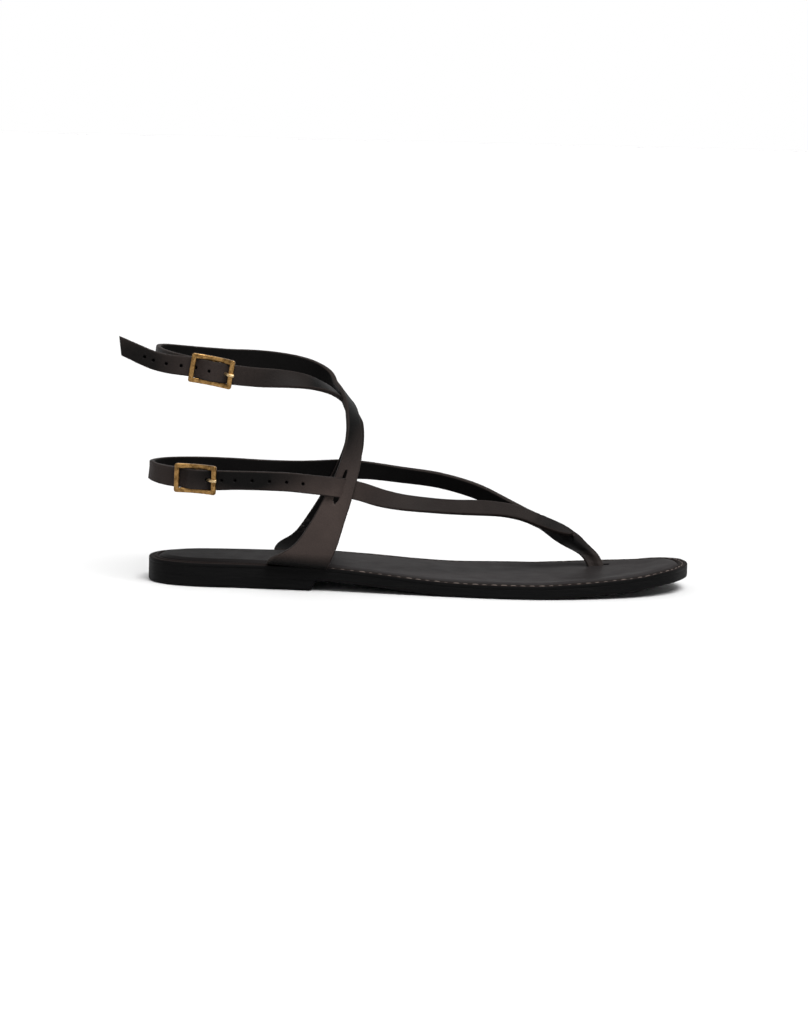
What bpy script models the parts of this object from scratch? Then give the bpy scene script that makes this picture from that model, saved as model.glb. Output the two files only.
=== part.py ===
# A right leather sandal: flat sole, toe post, crossed ankle straps and two buckles.
# Metres. +X points to the toe, +Y to the inner side of the foot and +Z up.
# The floor is z = 0, and the origin is under the middle of the heel. Each shape is worked out from
# the back of the heel, and one empty carries them all back to the origin.

import math
from collections import namedtuple

import bmesh
import bpy
from mathutils import Matrix, Vector

# Sole sizes
SOLE_LENGTH = 0.260
BALL_WIDTH = 0.088
HEEL_WIDTH = 0.056
OUTSOLE_THICKNESS = 0.0046
HEEL_LIFT = 0.005
HEEL_LENGTH = 0.079
BREAST_SLANT = 0.0025
HEEL_REST = 0.040
TOE_SPRING = 0.0062

# Insole sizes
INSOLE_EDGE = 0.0013
PAD_RISE = 0.0021
BORDER_WIDTH = 0.0048
PAD_SLOPE = 0.0045

# Strap sizes
STRAP_WIDTH = 0.010
STRAP_THICKNESS = 0.0022
STRAP_OVERHANG = 0.0078
STRAP_BASE_WIDTH = 0.0287
LOWER_RISE = 0.0412
UPPER_RISE = 0.0930
SLIT_WIDTH = 0.0012
SLIT_LENGTH = 0.0150
POST_THICKNESS = 0.0042

# The free ends past the buckles: length, turn away from the strap beneath and turn upwards, in
# degrees for each quarter of the length
TAIL_UPPER = 0.036
TAIL_UPPER_FLARE = 1.5
TAIL_UPPER_LIFT = 3.0
TAIL_LOWER = 0.020
TAIL_LOWER_FLARE = -12.0
TAIL_LOWER_LIFT = 1.5

# Buckle sizes
BUCKLE_LENGTH = 0.0200
BUCKLE_HEIGHT = 0.0138
BAR_DIAMETER = 0.0021
BUCKLE_ARCH = 0.0028
PRONG_DIAMETER = 0.0013
FOLD_THICKNESS = 0.0010

# The clearance between neighbouring solids
GAP = 0.0003

SIDES = {"lateral": -1, "medial": 1}

# One row for each station along the sole. near and far are the half-widths to the outer and the
# inner side, as shares of half the local width, which goes from the heel's to the ball's with ball.
OutlineRow = namedtuple("OutlineRow", "along near far ball")
OUTLINE = (
    OutlineRow(0.000, 0.14, 0.14, 0.0),
    OutlineRow(0.005, 0.34, 0.34, 0.0),
    OutlineRow(0.015, 0.54, 0.54, 0.0),
    OutlineRow(0.035, 0.735, 0.73, 0.0),
    OutlineRow(0.065, 0.885, 0.875, 0.0),
    OutlineRow(0.110, 0.975, 0.955, 0.0),
    OutlineRow(0.170, 1.000, 0.980, 0.0),
    OutlineRow(0.270, 0.926, 0.890, 0.3),
    OutlineRow(0.360, 0.917, 0.890, 0.55),
    OutlineRow(0.460, 0.922, 0.898, 0.8),
    OutlineRow(0.560, 0.937, 0.903, 1.0),
    OutlineRow(0.650, 0.997, 0.982, 1.0),
    OutlineRow(0.720, 0.993, 1.000, 1.0),
    OutlineRow(0.790, 0.921, 0.984, 1.0),
    OutlineRow(0.850, 0.815, 0.944, 1.0),
    OutlineRow(0.900, 0.685, 0.876, 1.0),
    OutlineRow(0.940, 0.530, 0.793, 1.0),
    OutlineRow(0.970, 0.345, 0.685, 1.0),
    OutlineRow(0.990, 0.120, 0.530, 1.0),
    OutlineRow(1.000, -0.100, 0.300, 1.0),
)

# The height of the outsole's underside, as shares of the heel lift and of the toe spring.
ProfileRow = namedtuple("ProfileRow", "along lift spring")
PROFILE = (
    ProfileRow(0.00, 1.00, 0.00),
    ProfileRow(0.31, 1.00, 0.00),
    ProfileRow(0.40, 0.72, 0.00),
    ProfileRow(0.50, 0.25, 0.00),
    ProfileRow(0.57, 0.04, 0.00),
    ProfileRow(0.62, 0.00, 0.00),
    ProfileRow(0.71, 0.00, 0.00),
    ProfileRow(0.76, 0.00, 0.10),
    ProfileRow(0.835, 0.00, 0.31),
    ProfileRow(0.91, 0.00, 0.57),
    ProfileRow(0.946, 0.00, 0.80),
    ProfileRow(1.00, 0.00, 1.00),
)

# One row for each station along a strap. along is a share of the sole's length, out of half the
# spread of the straps, rise of the ring's height over the seat and width of the strap's width.
# face is the compass angle of the leather's outer face (0 to the toe, 90 inwards) and tilt its
# angle above level, both in degrees.
StrapRow = namedtuple("StrapRow", "along out rise width face tilt")

# From the pocket in the sole up to the front of the ankle, for the medial strap. The lateral one
# mirrors it.
RISER = (
    StrapRow(0.277, 0.60, -0.023, 2.84, 90, -88),
    StrapRow(0.277, 0.79, -0.022, 2.87, 90, -84),
    StrapRow(0.278, 0.915, -0.004, 2.90, 90, -50),
    StrapRow(0.284, 0.975, 0.038, 2.80, 90, -12),
    StrapRow(0.299, 0.995, 0.075, 2.32, 90, 0),
    StrapRow(0.314, 1.000, 0.125, 1.98, 90, 0),
    StrapRow(0.335, 1.000, 0.253, 1.57, 90, 0),
    StrapRow(0.350, 0.980, 0.356, 1.36, 90, 2),
    StrapRow(0.362, 0.940, 0.457, 1.18, 87, 5),
    StrapRow(0.3725, 0.865, 0.566, 1.05, 76, 8),
    StrapRow(0.3765, 0.755, 0.680, 1.00, 58, 14),
)

# On from the risers, over the front of the ankle and round the heel. The lateral strap lies
# outside, and ends under its buckle.
LATERAL_RING = (
    StrapRow(0.373, -0.620, 0.760, 1.00, -42, 26),
    StrapRow(0.365, -0.370, 0.822, 1.00, -22, 36),
    StrapRow(0.354, -0.030, 0.864, 1.00, 2, 38),
    StrapRow(0.340, 0.310, 0.897, 1.00, 28, 30),
    StrapRow(0.325, 0.545, 0.928, 1.00, 50, 16),
    StrapRow(0.297, 0.680, 0.948, 1.00, 66, 8),
    StrapRow(0.252, 0.765, 0.975, 1.00, 81, 3),
    StrapRow(0.192, 0.800, 0.998, 1.00, 90, 0),
    StrapRow(0.130, 0.765, 1.008, 1.00, 99, 0),
    StrapRow(0.070, 0.640, 1.020, 1.00, 118, 0),
    StrapRow(0.026, 0.405, 1.030, 1.00, 143, 0),
    StrapRow(0.006, 0.060, 1.030, 1.00, 174, 0),
    StrapRow(0.014, -0.300, 1.022, 1.00, 207, 0),
    StrapRow(0.044, -0.560, 1.014, 1.00, 235, 0),
)

# The medial strap passes under the lateral one, and is the holed end that goes through the buckle.
MEDIAL_RING = (
    StrapRow(0.370, 0.570, 0.738, 1.00, 42, 26),
    StrapRow(0.360, 0.320, 0.800, 1.00, 22, 36),
    StrapRow(0.347, -0.010, 0.848, 1.00, -3, 38),
    StrapRow(0.333, -0.330, 0.893, 1.00, -28, 30),
    StrapRow(0.316, -0.555, 0.930, 1.00, -50, 16),
    StrapRow(0.290, -0.710, 0.951, 1.00, -68, 8),
    StrapRow(0.247, -0.800, 0.961, 1.00, -82, 3),
    StrapRow(0.205, -0.845, 0.964, 1.00, -90, 0),
)

# The heel ring's fixed end, from the toe post along the inner side and round the heel.
MEDIAL_THONG = (
    StrapRow(0.794, 0.520, 0.275, 0.75, 72, 24),
    StrapRow(0.760, 0.590, 0.330, 0.80, 72, 26),
    StrapRow(0.716, 0.690, 0.430, 0.86, 74, 28),
    StrapRow(0.665, 0.785, 0.575, 0.92, 78, 28),
    StrapRow(0.605, 0.860, 0.755, 0.92, 82, 26),
    StrapRow(0.535, 0.900, 0.872, 0.94, 86, 22),
    StrapRow(0.465, 0.910, 0.925, 0.96, 90, 16),
    StrapRow(0.405, 0.905, 0.965, 0.98, 92, 8),
    StrapRow(0.372, 0.925, 0.972, 0.98, 92, 4),
    StrapRow(0.350, 0.985, 0.962, 0.98, 92, 2),
    StrapRow(0.328, 1.040, 0.955, 0.98, 91, 0),
    StrapRow(0.300, 1.000, 0.950, 0.98, 90, 0),
    StrapRow(0.260, 0.900, 0.950, 0.98, 91, 0),
    StrapRow(0.200, 0.835, 0.960, 0.98, 96, 0),
    StrapRow(0.140, 0.775, 0.980, 0.98, 103, 0),
    StrapRow(0.080, 0.655, 0.995, 0.98, 117, 0),
    StrapRow(0.030, 0.430, 1.005, 0.98, 141, 0),
    StrapRow(0.004, 0.090, 1.010, 0.98, 173, 0),
    StrapRow(0.007, -0.270, 1.010, 0.98, 206, 0),
    StrapRow(0.034, -0.540, 1.005, 0.98, 233, 0),
)

# The heel ring's holed end, from the toe post along the outer side to its buckle.
LATERAL_THONG = (
    StrapRow(0.796, 0.440, 0.272, 0.72, -58, 20),
    StrapRow(0.763, 0.340, 0.362, 0.80, -56, 26),
    StrapRow(0.724, 0.185, 0.476, 0.88, -54, 32),
    StrapRow(0.685, 0.000, 0.590, 0.92, -54, 36),
    StrapRow(0.645, -0.190, 0.655, 0.94, -54, 38),
    StrapRow(0.605, -0.375, 0.690, 0.94, -56, 38),
    StrapRow(0.560, -0.560, 0.712, 0.94, -62, 36),
    StrapRow(0.515, -0.705, 0.742, 0.94, -70, 30),
    StrapRow(0.465, -0.815, 0.780, 0.96, -78, 24),
    StrapRow(0.425, -0.880, 0.835, 0.97, -86, 14),
    StrapRow(0.390, -0.905, 0.900, 0.98, -91, 6),
    StrapRow(0.368, -0.935, 0.930, 0.98, -92, 3),
    StrapRow(0.349, -0.990, 0.950, 0.98, -92, 1),
    StrapRow(0.328, -1.040, 0.965, 0.98, -91, 0),
    StrapRow(0.300, -1.000, 0.975, 0.98, -89, 0),
    StrapRow(0.262, -0.915, 0.986, 0.98, -90, 0),
    StrapRow(0.215, -0.875, 0.988, 0.98, -94, 0),
    StrapRow(0.172, -0.865, 0.988, 0.98, -98, 0),
)

# The post under the thong's tip: both straps folded together, down into the insole's slot. depth
# goes from 0 at the tip to 1 at its lower end, just over the outsole.
PostRow = namedtuple("PostRow", "depth along out width")
POST = (
    PostRow(0.00, 0.769, 0.53, 0.0110),
    PostRow(0.12, 0.778, 0.555, 0.0128),
    PostRow(0.30, 0.791, 0.585, 0.0118),
    PostRow(0.46, 0.804, 0.605, 0.0100),
    PostRow(0.62, 0.818, 0.62, 0.0083),
    PostRow(0.76, 0.828, 0.63, 0.0073),
    PostRow(0.88, 0.8325, 0.635, 0.0070),
    PostRow(1.00, 0.834, 0.635, 0.0070),
)
POST_TIP_RISE = 0.310

# Where each buckle's centre bar lies: along, out, rise, its turn about Z and its dip to the toe.
BuckleRow = namedtuple("BuckleRow", "along out rise turn dip")
BUCKLE_UPPER = BuckleRow(0.1165, -0.805, 0.988, -9.0, 9.0)
BUCKLE_LOWER = BuckleRow(0.0930, -0.755, 0.985, -17.0, 1.5)

TailRow = namedtuple("TailRow", "length flare lift")
TAILS = {
    "upper": TailRow(TAIL_UPPER, TAIL_UPPER_FLARE, TAIL_UPPER_LIFT),
    "lower": TailRow(TAIL_LOWER, TAIL_LOWER_FLARE, TAIL_LOWER_LIFT),
}

PARTS_NAME = "sandal"
CUTTERS_NAME = "cutters"


def empty_scene():
    for obj in list(bpy.data.objects):
        bpy.data.objects.remove(obj, do_unlink=True)
    for name in (PARTS_NAME, CUTTERS_NAME):
        bpy.context.scene.collection.children.link(bpy.data.collections.new(name))


def material(name, colour, roughness, metallic=0.0):
    made = bpy.data.materials.new(name)
    made.use_nodes = True
    shader = made.node_tree.nodes["Principled BSDF"]
    shader.inputs["Base Color"].default_value = (*colour, 1.0)
    shader.inputs["Roughness"].default_value = roughness
    shader.inputs["Metallic"].default_value = metallic
    return made


def object_from(name, mesh_bm, finish=None):
    """A new object: a part where it has a finish, and otherwise a hidden cutter."""
    bmesh.ops.recalc_face_normals(mesh_bm, faces=mesh_bm.faces[:])
    if mesh_bm.calc_volume(signed=True) < 0:
        bmesh.ops.reverse_faces(mesh_bm, faces=mesh_bm.faces[:])
    mesh = bpy.data.meshes.new(name)
    mesh_bm.to_mesh(mesh)
    mesh_bm.free()
    obj = bpy.data.objects.new(name, mesh)
    store(obj, finish)
    return obj


def store(obj, finish):
    if finish:
        obj.data.materials.append(finish)
    else:
        obj.hide_render = True
        obj.display_type = "WIRE"
    bpy.data.collections[PARTS_NAME if finish else CUTTERS_NAME].objects.link(obj)


def boolean(obj, other, operation, solver="EXACT"):
    modifier = obj.modifiers.new(f"{operation.lower()}_{other.name}", "BOOLEAN")
    modifier.object = other
    modifier.operation = operation
    modifier.solver = solver


def mix(low, high, share):
    return low + (high - low) * share


def smooth(share):
    share = min(max(share, 0.0), 1.0)
    return share * share * (3 - 2 * share)


def slopes(xs, ys):
    """Slopes at the rows that never overshoot, so equal rows stay level between them."""
    steps = [(y1 - y0) / (x1 - x0) for x0, x1, y0, y1 in zip(xs, xs[1:], ys, ys[1:])]
    inner = [0.0 if a * b <= 0 else 2 * a * b / (a + b) for a, b in zip(steps, steps[1:])]
    return [steps[0]] + inner + [steps[-1]]


def read(rows, column, along):
    """The smooth value of a table's column at a share of the length."""
    xs = [row.along for row in rows]
    ys = [getattr(row, column) for row in rows]
    along = min(max(along, xs[0]), xs[-1])
    i = max(k for k in range(len(xs) - 1) if along >= xs[k])
    rates = slopes(xs, ys)
    span = xs[i + 1] - xs[i]
    t = (along - xs[i]) / span
    start = ys[i] * (1 + 2 * t) * (1 - t) ** 2 + rates[i] * span * t * (1 - t) ** 2
    end = ys[i + 1] * t * t * (3 - 2 * t) + rates[i + 1] * span * t * t * (t - 1)
    return start + end


def half_widths(along):
    """The distances from the middle line to the sole's outer and inner side."""
    local = mix(HEEL_WIDTH, BALL_WIDTH, read(OUTLINE, "ball", along)) / 2
    return read(OUTLINE, "near", along) * local, read(OUTLINE, "far", along) * local


def underside(along):
    return read(PROFILE, "lift", along) * HEEL_LIFT + read(PROFILE, "spring", along) * TOE_SPRING


def outsole_top(along):
    return underside(along) + OUTSOLE_THICKNESS


def insole_base(along):
    return outsole_top(along) + GAP


def seat(along):
    """The top of the insole's thin edge."""
    return insole_base(along) + INSOLE_EDGE


def stations(first, last):
    """The outline's own rows between two shares, with one more between each pair."""
    own = [row.along for row in OUTLINE if first < row.along < last]
    marks = [first] + own + [last]
    halves = [(a + b) / 2 for a, b in zip(marks, marks[1:])]
    return sorted(marks + halves)


def slab(name, alongs, shares, low, high, finish):
    """A closed slab lofted through stations: low and high give a point at a station and a share
    of the way from the outer to the inner edge."""
    made = bmesh.new()
    last = len(alongs) - 1
    sheets = []
    for point in (low, high):
        grid = bmesh.ops.create_grid(made, x_segments=last, y_segments=len(shares) - 1, size=1)
        verts = sorted(grid["verts"], key=lambda v: (round(v.co.x, 6), round(v.co.y, 6)))
        for i, along in enumerate(alongs):
            for j, share in enumerate(shares):
                verts[i * len(shares) + j].co = point(along, share)
        sheets.append(verts)
    rims = []
    for verts in sheets:
        chosen = set(verts)
        rims += [e for e in made.edges if e.is_boundary and e.verts[0] in chosen]
    bmesh.ops.bridge_loops(made, edges=rims)
    return object_from(name, made, finish)


def across(along, share):
    near, far = half_widths(along)
    return mix(-near, far, share)


def make_outsole(finish):
    def low(along, share):
        return along * SOLE_LENGTH, across(along, share), underside(along)

    def high(along, share):
        return along * SOLE_LENGTH, across(along, share), outsole_top(along)

    shares = [0.0, 0.15, 0.4, 0.6, 0.85, 1.0]
    return slab("outsole", stations(0.0, 1.0), shares, low, high, finish)


def make_heel(finish):
    def low(along, share):
        return along * SOLE_LENGTH, across(along, share), 0.0

    def high(along, share):
        slanted = along * (1 + BREAST_SLANT / HEEL_LENGTH)
        return slanted * SOLE_LENGTH, across(slanted, share), HEEL_LIFT - GAP

    shares = [0.0, 0.25, 0.5, 0.75, 1.0]
    return slab("heel", stations(0.0, HEEL_LENGTH / SOLE_LENGTH), shares, low, high, finish)


def pad_height(inset, from_end):
    """How far the insole's top stands over its edge, at a distance in from the side and the end."""
    depth = min(inset, from_end)
    border = 0.30 * PAD_RISE * smooth(depth / BORDER_WIDTH)
    return border + 0.70 * PAD_RISE * smooth((depth - BORDER_WIDTH) / PAD_SLOPE)


def make_insole(finish):
    rising = BORDER_WIDTH + 0.4 * PAD_SLOPE
    insets = (0.0, 0.5 * BORDER_WIDTH, BORDER_WIDTH, rising, BORDER_WIDTH + PAD_SLOPE)
    reach = (0.0, 0.18, 0.36, 0.52, 0.70)

    def inset_of(column, half):
        return min(insets[column], reach[column] * half)

    def place(along, column):
        near, far = half_widths(along)
        half = (near + far) / 2
        columns = len(insets)
        if column < columns:
            return -near + inset_of(column, half), inset_of(column, half)
        if column == columns:
            return (far - near) / 2, half
        mirrored = 2 * columns - column
        return far - inset_of(mirrored, half), inset_of(mirrored, half)

    def low(along, column):
        return along * SOLE_LENGTH, place(along, column)[0], insole_base(along)

    def high(along, column):
        y, inset = place(along, column)
        from_end = min(along, 1 - along) * SOLE_LENGTH
        return along * SOLE_LENGTH, y, seat(along) + pad_height(inset, from_end)

    return slab("insole", stations(0.0, 1.0), range(2 * len(insets) + 1), low, high, finish)


def spread():
    """Half the distance between the two risers: the sole's half-width there and the overhang."""
    near, far = half_widths(RISER[3].along)
    return (near + far) / 2 + STRAP_OVERHANG


# A point of a strap, with the leather's outward direction there. level is 1 where its width is
# measured level, as on the flared base, and 0 where it is measured square to the strap.
StrapPoint = namedtuple("StrapPoint", "place width facing level")


def facing_of(face, tilt):
    face, tilt = math.radians(face), math.radians(tilt)
    return Vector((math.cos(face) * math.cos(tilt), math.sin(face) * math.cos(tilt), math.sin(tilt)))


def strap_points(rows, rise, side=1):
    """The rows' points, with side -1 mirroring them about the middle line."""
    floor = seat(0.0)
    points = []
    for row in rows:
        place = Vector((row.along * SOLE_LENGTH, side * row.out * spread(), floor + row.rise * rise))
        facing = facing_of(side * row.face, row.tilt)
        points.append(StrapPoint(place, row.width * STRAP_WIDTH, facing, 0.0))
    return points


def riser_points(side):
    """The riser's rows. Its base keeps its own width, which fades into the strap's width."""
    widest = max(row.width for row in RISER)
    points = []
    for row, point in zip(RISER, strap_points(RISER, UPPER_RISE, side)):
        flare = (row.width - 1) / (widest - 1)
        width = mix(STRAP_WIDTH, STRAP_BASE_WIDTH, flare)
        points.append(point._replace(width=width, level=min(1.0, 3 * flare)))
    return points


def between(points, t):
    """A Catmull-Rom curve through the points, t counting them."""
    i = min(int(t), len(points) - 2)
    t -= i
    a, b, c, d = (points[min(max(k, 0), len(points) - 1)] for k in (i - 1, i, i + 1, i + 2))

    def blend(p, q, r, s):
        square = (2 * p - 5 * q + 4 * r - s) * t * t
        cube = (3 * q - p - 3 * r + s) * t ** 3
        return 0.5 * (2 * q + (r - p) * t + square + cube)

    return StrapPoint(
        blend(a.place, b.place, c.place, d.place),
        blend(a.width, b.width, c.width, d.width),
        blend(a.facing, b.facing, c.facing, d.facing).normalized(),
        mix(b.level, c.level, t),
    )


def ribbon(name, points, thickness, steps=3, columns=1):
    """A leather strip through the points: an open surface with its thickness on both sides."""
    count = (len(points) - 1) * steps
    samples = [between(points, k / steps) for k in range(count + 1)]
    made = bmesh.new()
    grid = bmesh.ops.create_grid(made, x_segments=count, y_segments=columns, size=1)
    verts = sorted(grid["verts"], key=lambda v: (round(v.co.x, 6), round(v.co.y, 6)))
    for i, sample in enumerate(samples):
        before = samples[max(i - 1, 0)].place
        after = samples[min(i + 1, count)].place
        square = (after - before).normalized().cross(sample.facing).normalized()
        flat = Vector((0, 0, 1)).cross(sample.facing).normalized()
        broad = square.lerp(flat, sample.level).normalized()
        for j in range(columns + 1):
            verts[i * (columns + 1) + j].co = sample.place + broad * sample.width * (j / columns - 0.5)
    strip = object_from(name, made)
    modifier = strip.modifiers.new("leather", "SOLIDIFY")
    modifier.thickness = thickness
    modifier.offset = 0
    modifier.use_even_offset = False
    return solid_from(strip)


def solid_from(source):
    """A closed mesh object made from the evaluated source, which is removed."""
    bpy.context.view_layer.update()
    graph = bpy.context.evaluated_depsgraph_get()
    mesh = bpy.data.meshes.new_from_object(source.evaluated_get(graph))
    name, matrix = source.name, source.matrix_world.copy()
    bpy.data.objects.remove(source, do_unlink=True)
    made = bmesh.new()
    made.from_mesh(mesh)
    bmesh.ops.remove_doubles(made, verts=made.verts[:], dist=1e-6)
    made.transform(matrix)
    bpy.data.meshes.remove(mesh)
    return object_from(name, made)


def buckle_frame(row):
    """The matrix of a buckle: its X to the toe along the strap, Y up the bar and Z outwards."""
    place = Vector((row.along * SOLE_LENGTH, row.out * spread(), seat(0.0)))
    place.z += row.rise * (UPPER_RISE if row is BUCKLE_UPPER else LOWER_RISE)
    turn = Matrix.Rotation(math.radians(row.turn), 4, "Z")
    dip = Matrix.Rotation(math.radians(row.dip), 4, "Y")
    upright = Matrix.Rotation(math.radians(90), 4, "X")
    return Matrix.Translation(place) @ turn @ dip @ upright


def arch(along):
    """How far the frame's rails stand out at a distance from the centre bar."""
    return BUCKLE_ARCH * (2 * along / BUCKLE_LENGTH) ** 2


def wire(name, knots, diameter, closed, matrix, finish=None):
    """A bent round wire through the knots, in the buckle's own frame."""
    curve = bpy.data.curves.new(name, "CURVE")
    curve.dimensions = "3D"
    curve.bevel_depth = diameter / 2
    curve.bevel_resolution = 2
    curve.use_fill_caps = True
    spline = curve.splines.new("POLY")
    spline.points.add(len(knots) - 1)
    for point, knot in zip(spline.points, knots):
        point.co = (*knot, 1.0)
    spline.use_cyclic_u = closed
    obj = bpy.data.objects.new(name, curve)
    obj.matrix_world = matrix
    bpy.data.collections[CUTTERS_NAME].objects.link(obj)
    solid = solid_from(obj)
    if finish:
        bpy.data.collections[CUTTERS_NAME].objects.unlink(solid)
        solid.hide_render = False
        solid.display_type = "TEXTURED"
        store(solid, finish)
    return solid


def frame_knots():
    """The rectangle's round-cornered centre line, bowed by its arch."""
    half_length = (BUCKLE_LENGTH - BAR_DIAMETER) / 2
    half_height = (BUCKLE_HEIGHT - BAR_DIAMETER) / 2
    corner = 1.3 * BAR_DIAMETER
    knots = []
    for turn in range(4):
        sx, sy = ((1, 1), (-1, 1), (-1, -1), (1, -1))[turn]
        for step in range(4):
            angle = math.radians(90 * turn + 30 * step)
            x = sx * (half_length - corner) + corner * math.cos(angle)
            y = sy * (half_height - corner) + corner * math.sin(angle)
            knots.append((x, y, arch(x)))
        if turn in (0, 2):
            for share in (0.5, 0.0, -0.5):
                x = sx * share * (half_length - corner)
                knots.append((x, sy * half_height, arch(x)))
    return knots


def make_buckle(name, row, finish):
    matrix = buckle_frame(row)
    frame = wire(name, frame_knots(), BAR_DIAMETER, True, matrix, finish)
    reach = (BUCKLE_HEIGHT - BAR_DIAMETER) / 2
    bar = wire(f"{name}_bar", [(0, -reach, 0), (0, reach, 0)], 0.95 * BAR_DIAMETER, False, matrix)
    boolean(frame, bar, "UNION")
    return frame


def bar_clear():
    """The radius that the centre bar needs, with its clearance."""
    return BAR_DIAMETER / 2 + GAP


def strap_lift(along):
    """The height of the holed strap's middle over the centre bar, along the buckle."""
    over = bar_clear() + FOLD_THICKNESS + STRAP_THICKNESS / 2
    half = (BUCKLE_LENGTH - BAR_DIAMETER) / 2
    under = arch(half) - bar_clear() - STRAP_THICKNESS / 2 - GAP / 2
    return mix(over, under, smooth(abs(along) / (half - BAR_DIAMETER / 2)))


def local_points(matrix, places, width):
    """Strap points from distances along and over a buckle."""
    facing = (matrix.to_3x3() @ Vector((0, 0, 1))).normalized()
    return [StrapPoint(matrix @ Vector((x, 0, z)), width, facing, 0.0) for x, z in places]


def make_prong(name, row, finish):
    eye = bar_clear() + PRONG_DIAMETER / 2
    angles = [math.radians(a) for a in range(150, 361, 30)]
    knots = [(eye * math.cos(angle), 0, eye * math.sin(angle)) for angle in angles]
    half = (BUCKLE_LENGTH - BAR_DIAMETER) / 2
    over = arch(half) + bar_clear() + PRONG_DIAMETER / 2
    path = ((0.38, -0.05), (0.50, 0.0), (0.64, 0.42), (0.80, 0.90), (0.90, 1.0), (1.14, 0.97))
    knots += [(x * half, 0, z * over) for x, z in path]
    return wire(name, knots, PRONG_DIAMETER, False, buckle_frame(row), finish)


def cylinder(name, radius, depth, matrix):
    made = bmesh.new()
    bmesh.ops.create_cone(made, cap_ends=True, segments=20, radius1=radius, radius2=radius, depth=depth)
    made.transform(matrix)
    return object_from(name, made)


def box(name, size, matrix):
    made = bmesh.new()
    bmesh.ops.create_cube(made, size=1)
    made.transform(matrix @ Matrix.Diagonal((*size, 1)))
    return object_from(name, made)


def make_fold(name, row):
    """The thin fold of the fixed end round the centre bar, slotted for the prong."""
    lying = buckle_frame(row) @ Matrix.Rotation(math.radians(90), 4, "X")
    radius = bar_clear() + FOLD_THICKNESS
    inner_width = BUCKLE_HEIGHT - 2 * BAR_DIAMETER - 2 * GAP
    fold = cylinder(name, radius, inner_width, lying)
    boolean(fold, cylinder(f"{name}_bore", bar_clear(), 2 * inner_width, lying), "DIFFERENCE")
    return fold


def prong_slot(name, row):
    """The slot through the fold and the fixed end below it."""
    half = (BUCKLE_LENGTH - BAR_DIAMETER) / 2
    width = PRONG_DIAMETER + 2 * GAP
    top = bar_clear() + FOLD_THICKNESS + GAP / 2
    bottom = -(bar_clear() + 2 * STRAP_THICKNESS)
    size = (0.9 * half, width, top - bottom)
    return box(name, size, buckle_frame(row) @ Matrix.Translation((0.05 * half, 0, (top + bottom) / 2)))


def prong_hole(name, row):
    half = (BUCKLE_LENGTH - BAR_DIAMETER) / 2
    width = PRONG_DIAMETER + 3 * GAP
    place = Matrix.Translation((0.58 * half, 0, strap_lift(0.58 * half)))
    return box(name, (0.38 * half, width, 3 * STRAP_THICKNESS), buckle_frame(row) @ place)


def fixed_end(points, row):
    """The fixed strap's points, carried on under the centre bar."""
    level = -(bar_clear() + STRAP_THICKNESS / 2)
    width = BUCKLE_HEIGHT - 2 * BAR_DIAMETER - 2 * GAP
    half = BUCKLE_LENGTH / 2
    places = [(-0.75 * half, level), (-0.35 * half, level), (0.12 * half, level)]
    return points + local_points(buckle_frame(row), places, min(width, STRAP_WIDTH))


def holed_end(points, row, tail):
    """The holed strap's points, carried on under, over and under the bars and out as the tail."""
    half = BUCKLE_LENGTH / 2
    width = min(BUCKLE_HEIGHT - 2 * BAR_DIAMETER - 2 * GAP, STRAP_WIDTH)
    shares = [1 - k / 4 for k in range(9)]
    places = [(share * half, strap_lift(share * half)) for share in shares]
    through = local_points(buckle_frame(row), places, width)
    return points + through + tail_points(through[-1], tail, row)


def tail_points(start, tail, row):
    """The free end past the buckle, in four equal steps."""
    matrix = buckle_frame(row)
    heading = (matrix.to_3x3() @ Vector((-1, 0, 0))).normalized()
    turn = Matrix.Rotation(math.radians(tail.flare), 3, "Z")
    turn = turn @ Matrix.Rotation(math.radians(tail.lift), 3, "Y")
    points = []
    place, facing = start.place, start.facing
    for _ in range(4):
        heading = turn @ heading
        facing = turn @ facing
        place = place + heading * tail.length / 4
        points.append(StrapPoint(place.copy(), start.width, facing.copy(), 0.0))
    return points


def make_slit(name, side):
    """The slit in a riser that its thong strap passes through."""
    points = riser_points(side)
    target = seat(0.0) + 0.965 * LOWER_RISE
    i = max(k for k, p in enumerate(points) if p.place.z < target)
    low, high = points[i], points[i + 1]
    share = (target - low.place.z) / (high.place.z - low.place.z)
    place = low.place.lerp(high.place, share)
    lean = math.atan2(high.place.x - low.place.x, high.place.z - low.place.z)
    matrix = Matrix.Translation(place) @ Matrix.Rotation(lean, 4, "Y")
    return box(name, (SLIT_WIDTH, 4 * STRAP_THICKNESS, SLIT_LENGTH), matrix)


def post_points():
    """The folded toe post's own points, from the thong's tip to just over the outsole."""
    top = seat(0.0) + POST_TIP_RISE * LOWER_RISE
    end = insole_base(POST[-1].along) + GAP
    points = []
    for row in POST:
        place = Vector((row.along * SOLE_LENGTH, row.out * spread(), mix(top, end, row.depth)))
        points.append(StrapPoint(place, row.width, facing_of(-82, 4), 0.0))
    return points


def post_slot():
    """The slot in the insole round the post: the post's points, a clearance thicker and wider."""
    points = [p._replace(width=p.width + 2 * GAP) for p in post_points()]
    lowest = points[-1]
    points.append(lowest._replace(place=lowest.place - Vector((0, 0, 4 * GAP))))
    return ribbon("post_slot", points, POST_THICKNESS + 2 * GAP)


def strap_pocket(name, side):
    """The pocket that a riser's end lies in: its own points, a clearance thicker and wider."""
    points = riser_points(side)[:6]
    wider = [p._replace(width=p.width + 2 * GAP) for p in points]
    first = wider[0]
    inward = (first.place - wider[1].place).normalized() * GAP
    wider[0] = first._replace(place=first.place + inward)
    return ribbon(name, wider, STRAP_THICKNESS + 2 * GAP)


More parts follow.
